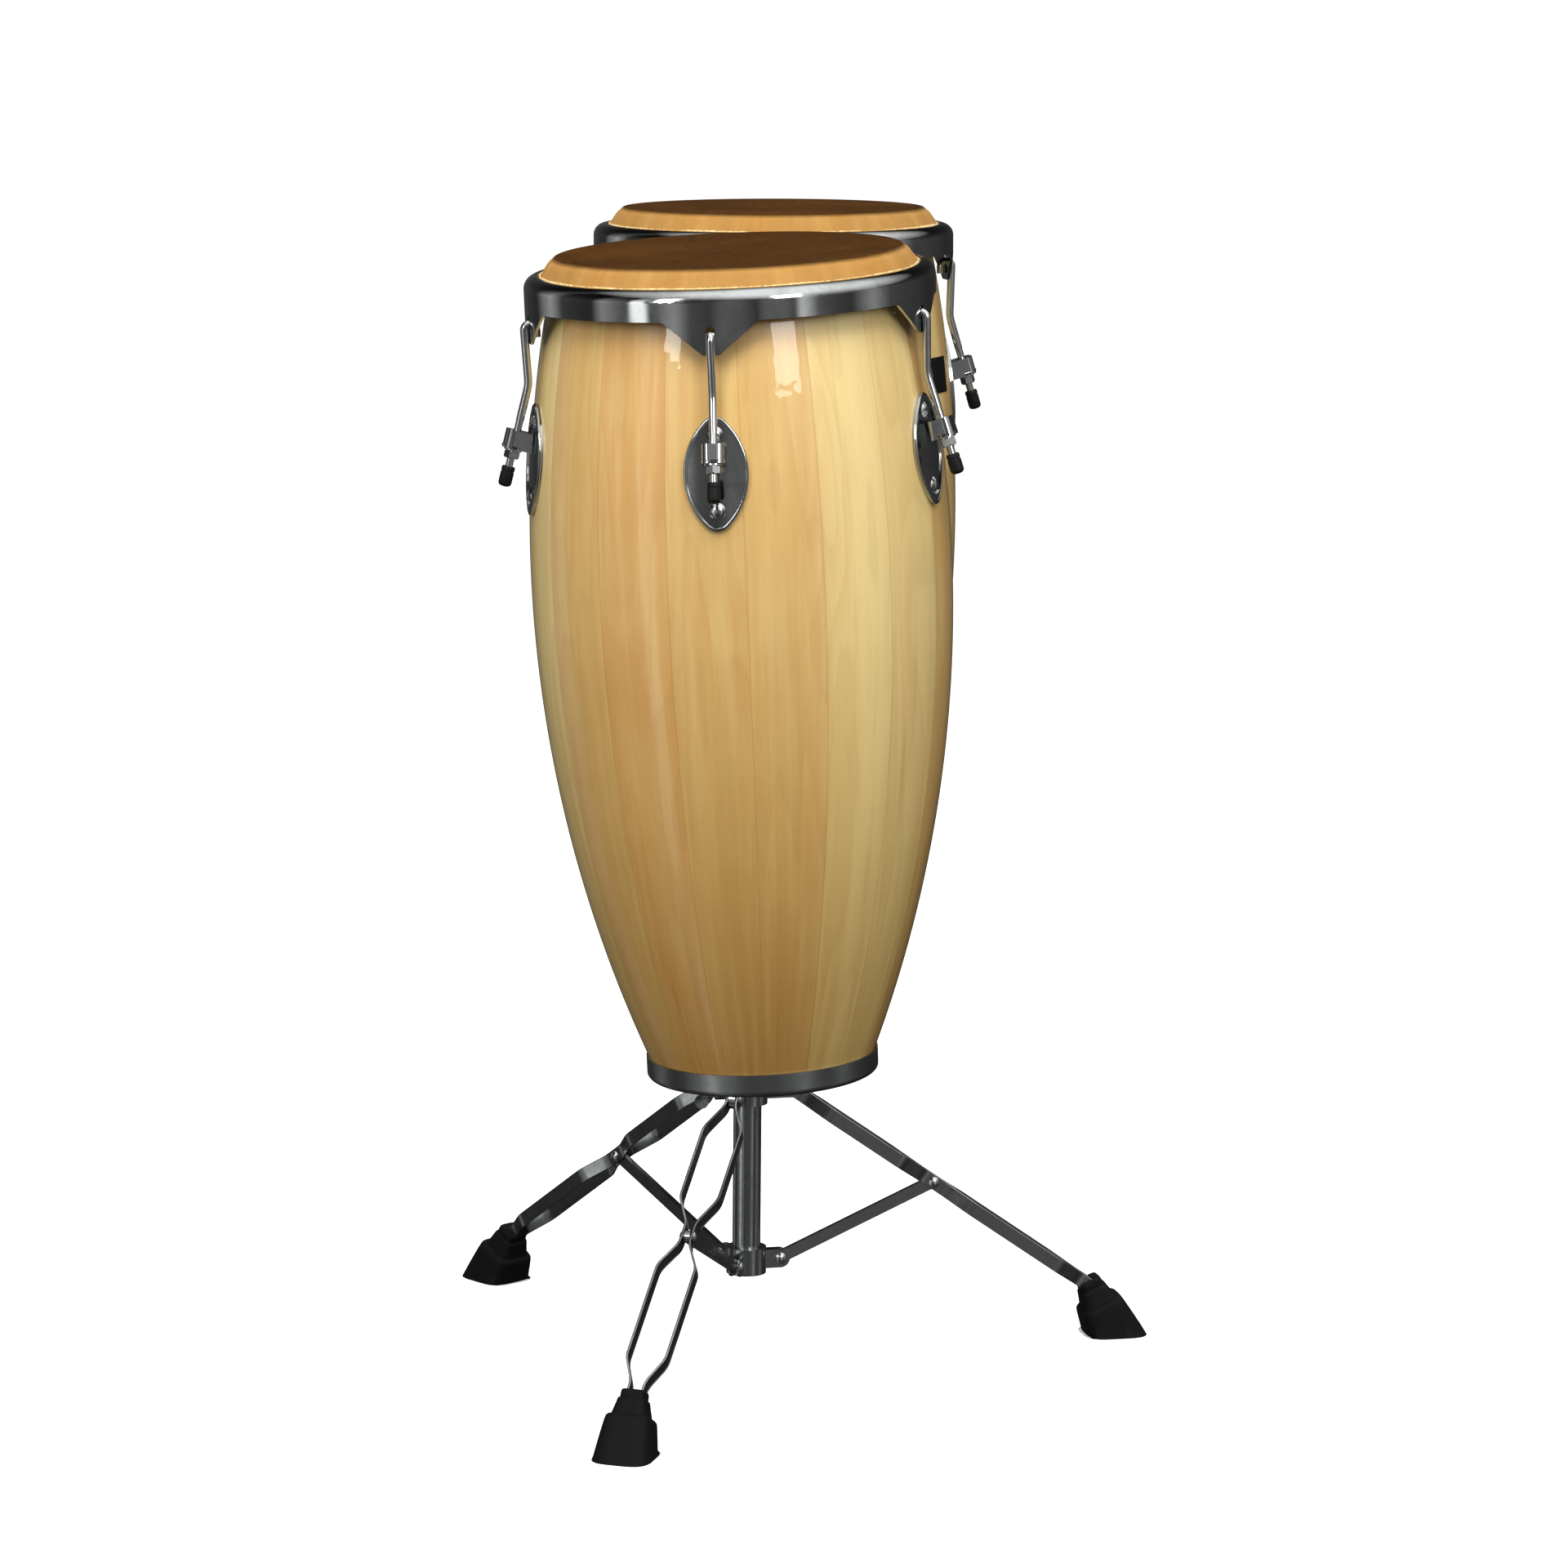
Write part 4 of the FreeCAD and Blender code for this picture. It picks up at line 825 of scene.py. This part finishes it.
for number, drum in enumerate(DRUMS):
    stave_shell(drum)
    played_skin(drum, 0.4 + number)
    hide_edge(drum, 11 + number)
    rod_threads(drum)
    ribbed_caps(drum)
    plate_beads(drum)
for leg in LEGS:
    leg_strip(leg, -1, leg + "_leg_near_strip")
    leg_strip(leg, 1, leg + "_leg_far_strip")
    rubber_foot(leg)


# ---------- floor, camera, light ----------

CAMERA_SPOT = (0.0, -5.4572, 1.5415)
LIGHT_AIM = Vector((0.0, -0.3, 0.85))


def make_floor():
    bpy.ops.mesh.primitive_plane_add(size=60)
    floor = bpy.context.object
    floor.name = "studio_floor"
    material, tree, shader = new_material("pale_floor", Base_Color=(0.55, 0.55, 0.55, 1.0), Roughness=0.95,
                                          Emission_Color=(*WHITE, 1.0), Emission_Strength=0.80)
    floor.data.materials.append(material)
    floor.visible_glossy = False
    floor.visible_diffuse = False


def make_camera():
    """Long lens, a little above the heads, at the player's side."""
    data = bpy.data.cameras.new("view_camera")
    data.sensor_width = 36.0
    data.lens = 143.4
    data.clip_end = 100.0
    camera = bpy.data.objects.new("view_camera", data)
    bpy.context.scene.collection.objects.link(camera)
    pan = Matrix.Rotation(-0.0055, 4, "Z")
    tilt = Matrix.Rotation(-0.1846, 4, "X")
    roll = Matrix.Rotation(-0.0095, 4, "Y")
    level = Matrix.Rotation(math.radians(90), 4, "X")
    camera.matrix_world = Matrix.Translation(CAMERA_SPOT) @ (pan @ tilt @ roll) @ level
    bpy.context.scene.camera = camera


def soft_box(name, azimuth, elevation, distance, wide, high, power, mirrored=True):
    """Area light seen from the aim point at an azimuth (0 is the player's side, + is right) and elevation."""
    turn = math.radians(azimuth)
    lift = math.radians(elevation)
    away = Vector((math.sin(turn) * math.cos(lift), -math.cos(turn) * math.cos(lift), math.sin(lift)))
    data = bpy.data.lights.new(name, "AREA")
    data.shape = "RECTANGLE"
    data.size = wide
    data.size_y = high
    data.energy = power
    light = bpy.data.objects.new(name, data)
    light.location = LIGHT_AIM + away * distance
    light.rotation_euler = away.to_track_quat("Z", "Y").to_euler()
    light.visible_glossy = mirrored
    light.visible_camera = False
    bpy.context.scene.collection.objects.link(light)


def make_world():
    """Plain pale backdrop to look at, a dim room with a few tall panels to be mirrored in the metal."""
    world = bpy.data.worlds.new("studio")
    bpy.context.scene.world = world
    world.use_nodes = True
    tree = world.node_tree
    tree.nodes.clear()
    path = tree.nodes.new("ShaderNodeLightPath")
    direction = put(tree, "ShaderNodeTexCoord", output="Generated")
    parts = tree.nodes.new("ShaderNodeSeparateXYZ")
    tree.links.new(direction, parts.inputs[0])
    # 0 behind the object, 0.5 on the player's side, and 0 at the foot of the room to 1 overhead
    turn = calc(tree, "ARCTAN2", parts.outputs[0], calc(tree, "MULTIPLY", parts.outputs[1], -1.0))
    share = calc(tree, "ADD", calc(tree, "DIVIDE", turn, 2 * math.pi), 0.5)
    panels = grey_ramp(tree, share, (0.0, 0.05), (0.12, 0.02), (0.17, 0.30), (0.20, 0.04), (0.27, 0.02),
                       (0.29, 0.22), (0.325, 0.10), (0.338, 0.05), (0.345, 1.0), (0.366, 1.0), (0.374, 0.05),
                       (0.415, 0.26), (0.44, 0.06), (0.47, 0.04), (0.49, 0.10), (0.52, 0.08), (0.54, 0.03),
                       (0.556, 0.11), (0.588, 0.11), (0.602, 0.04), (0.612, 0.50),
                       (0.64, 0.08), (0.70, 0.03), (0.74, 0.22), (0.78, 0.05), (0.90, 0.02))
    rise = calc(tree, "ADD", calc(tree, "MULTIPLY", parts.outputs[2], 0.5), 0.5)
    height = grey_ramp(tree, rise, (0.10, 0.25), (0.30, 0.5), (0.42, 0.85), (0.52, 1.0), (0.60, 0.6),
                       (0.75, 0.12))
    walls = blend(tree, 1.0, panels, height, "MULTIPLY")
    ceiling_way = Vector((0.28, -0.22, 0.93)).normalized()
    towards = put(tree, "ShaderNodeVectorMath", {0: direction, 1: ceiling_way}, "Value",
                  operation="DOT_PRODUCT")
    ceiling = grey_ramp(tree, towards, (0.42, 0.0), (0.66, 0.34), (0.90, 0.75))
    mirrored = blend(tree, 1.0, walls, ceiling, "ADD")
    seen = put(tree, "ShaderNodeBackground", {"Color": (*WHITE, 1.0), "Strength": 1.0})
    room = put(tree, "ShaderNodeBackground", {"Color": mirrored, "Strength": 1.8})
    above = grey_ramp(tree, rise, (0.25, 0.03), (0.45, 0.20), (0.6, 0.34), (0.8, 0.42))
    soft = put(tree, "ShaderNodeBackground", {"Color": above, "Strength": 1.0})
    indirect = put(tree, "ShaderNodeMixShader", {0: path.outputs["Is Glossy Ray"], 1: soft, 2: room})
    chosen = put(tree, "ShaderNodeMixShader", {0: path.outputs["Is Camera Ray"], 1: indirect, 2: seen})
    output = tree.nodes.new("ShaderNodeOutputWorld")
    tree.links.new(chosen, output.inputs["Surface"])


make_floor()
make_camera()
make_world()
soft_box("left_window", -37, 23, 5.0, 0.9, 2.0, 60)
soft_box("right_window", 32, 23, 5.0, 1.3, 2.0, 74)
soft_box("overhead_box", 8, 62, 3.2, 4.4, 1.3, 120, mirrored=False)
soft_box("front_fill", -6, 46, 4.5, 3.5, 2.4, 72, mirrored=False)
soft_box("back_fill", 176, 38, 4.0, 3.0, 2.0, 84, mirrored=False)
soft_box("left_side_fill", -84, 10, 4.5, 2.0, 2.6, 58, mirrored=False)
soft_box("right_side_fill", 78, 12, 4.5, 2.0, 2.6, 30, mirrored=False)
bpy.context.scene.view_settings.view_transform = "Standard"
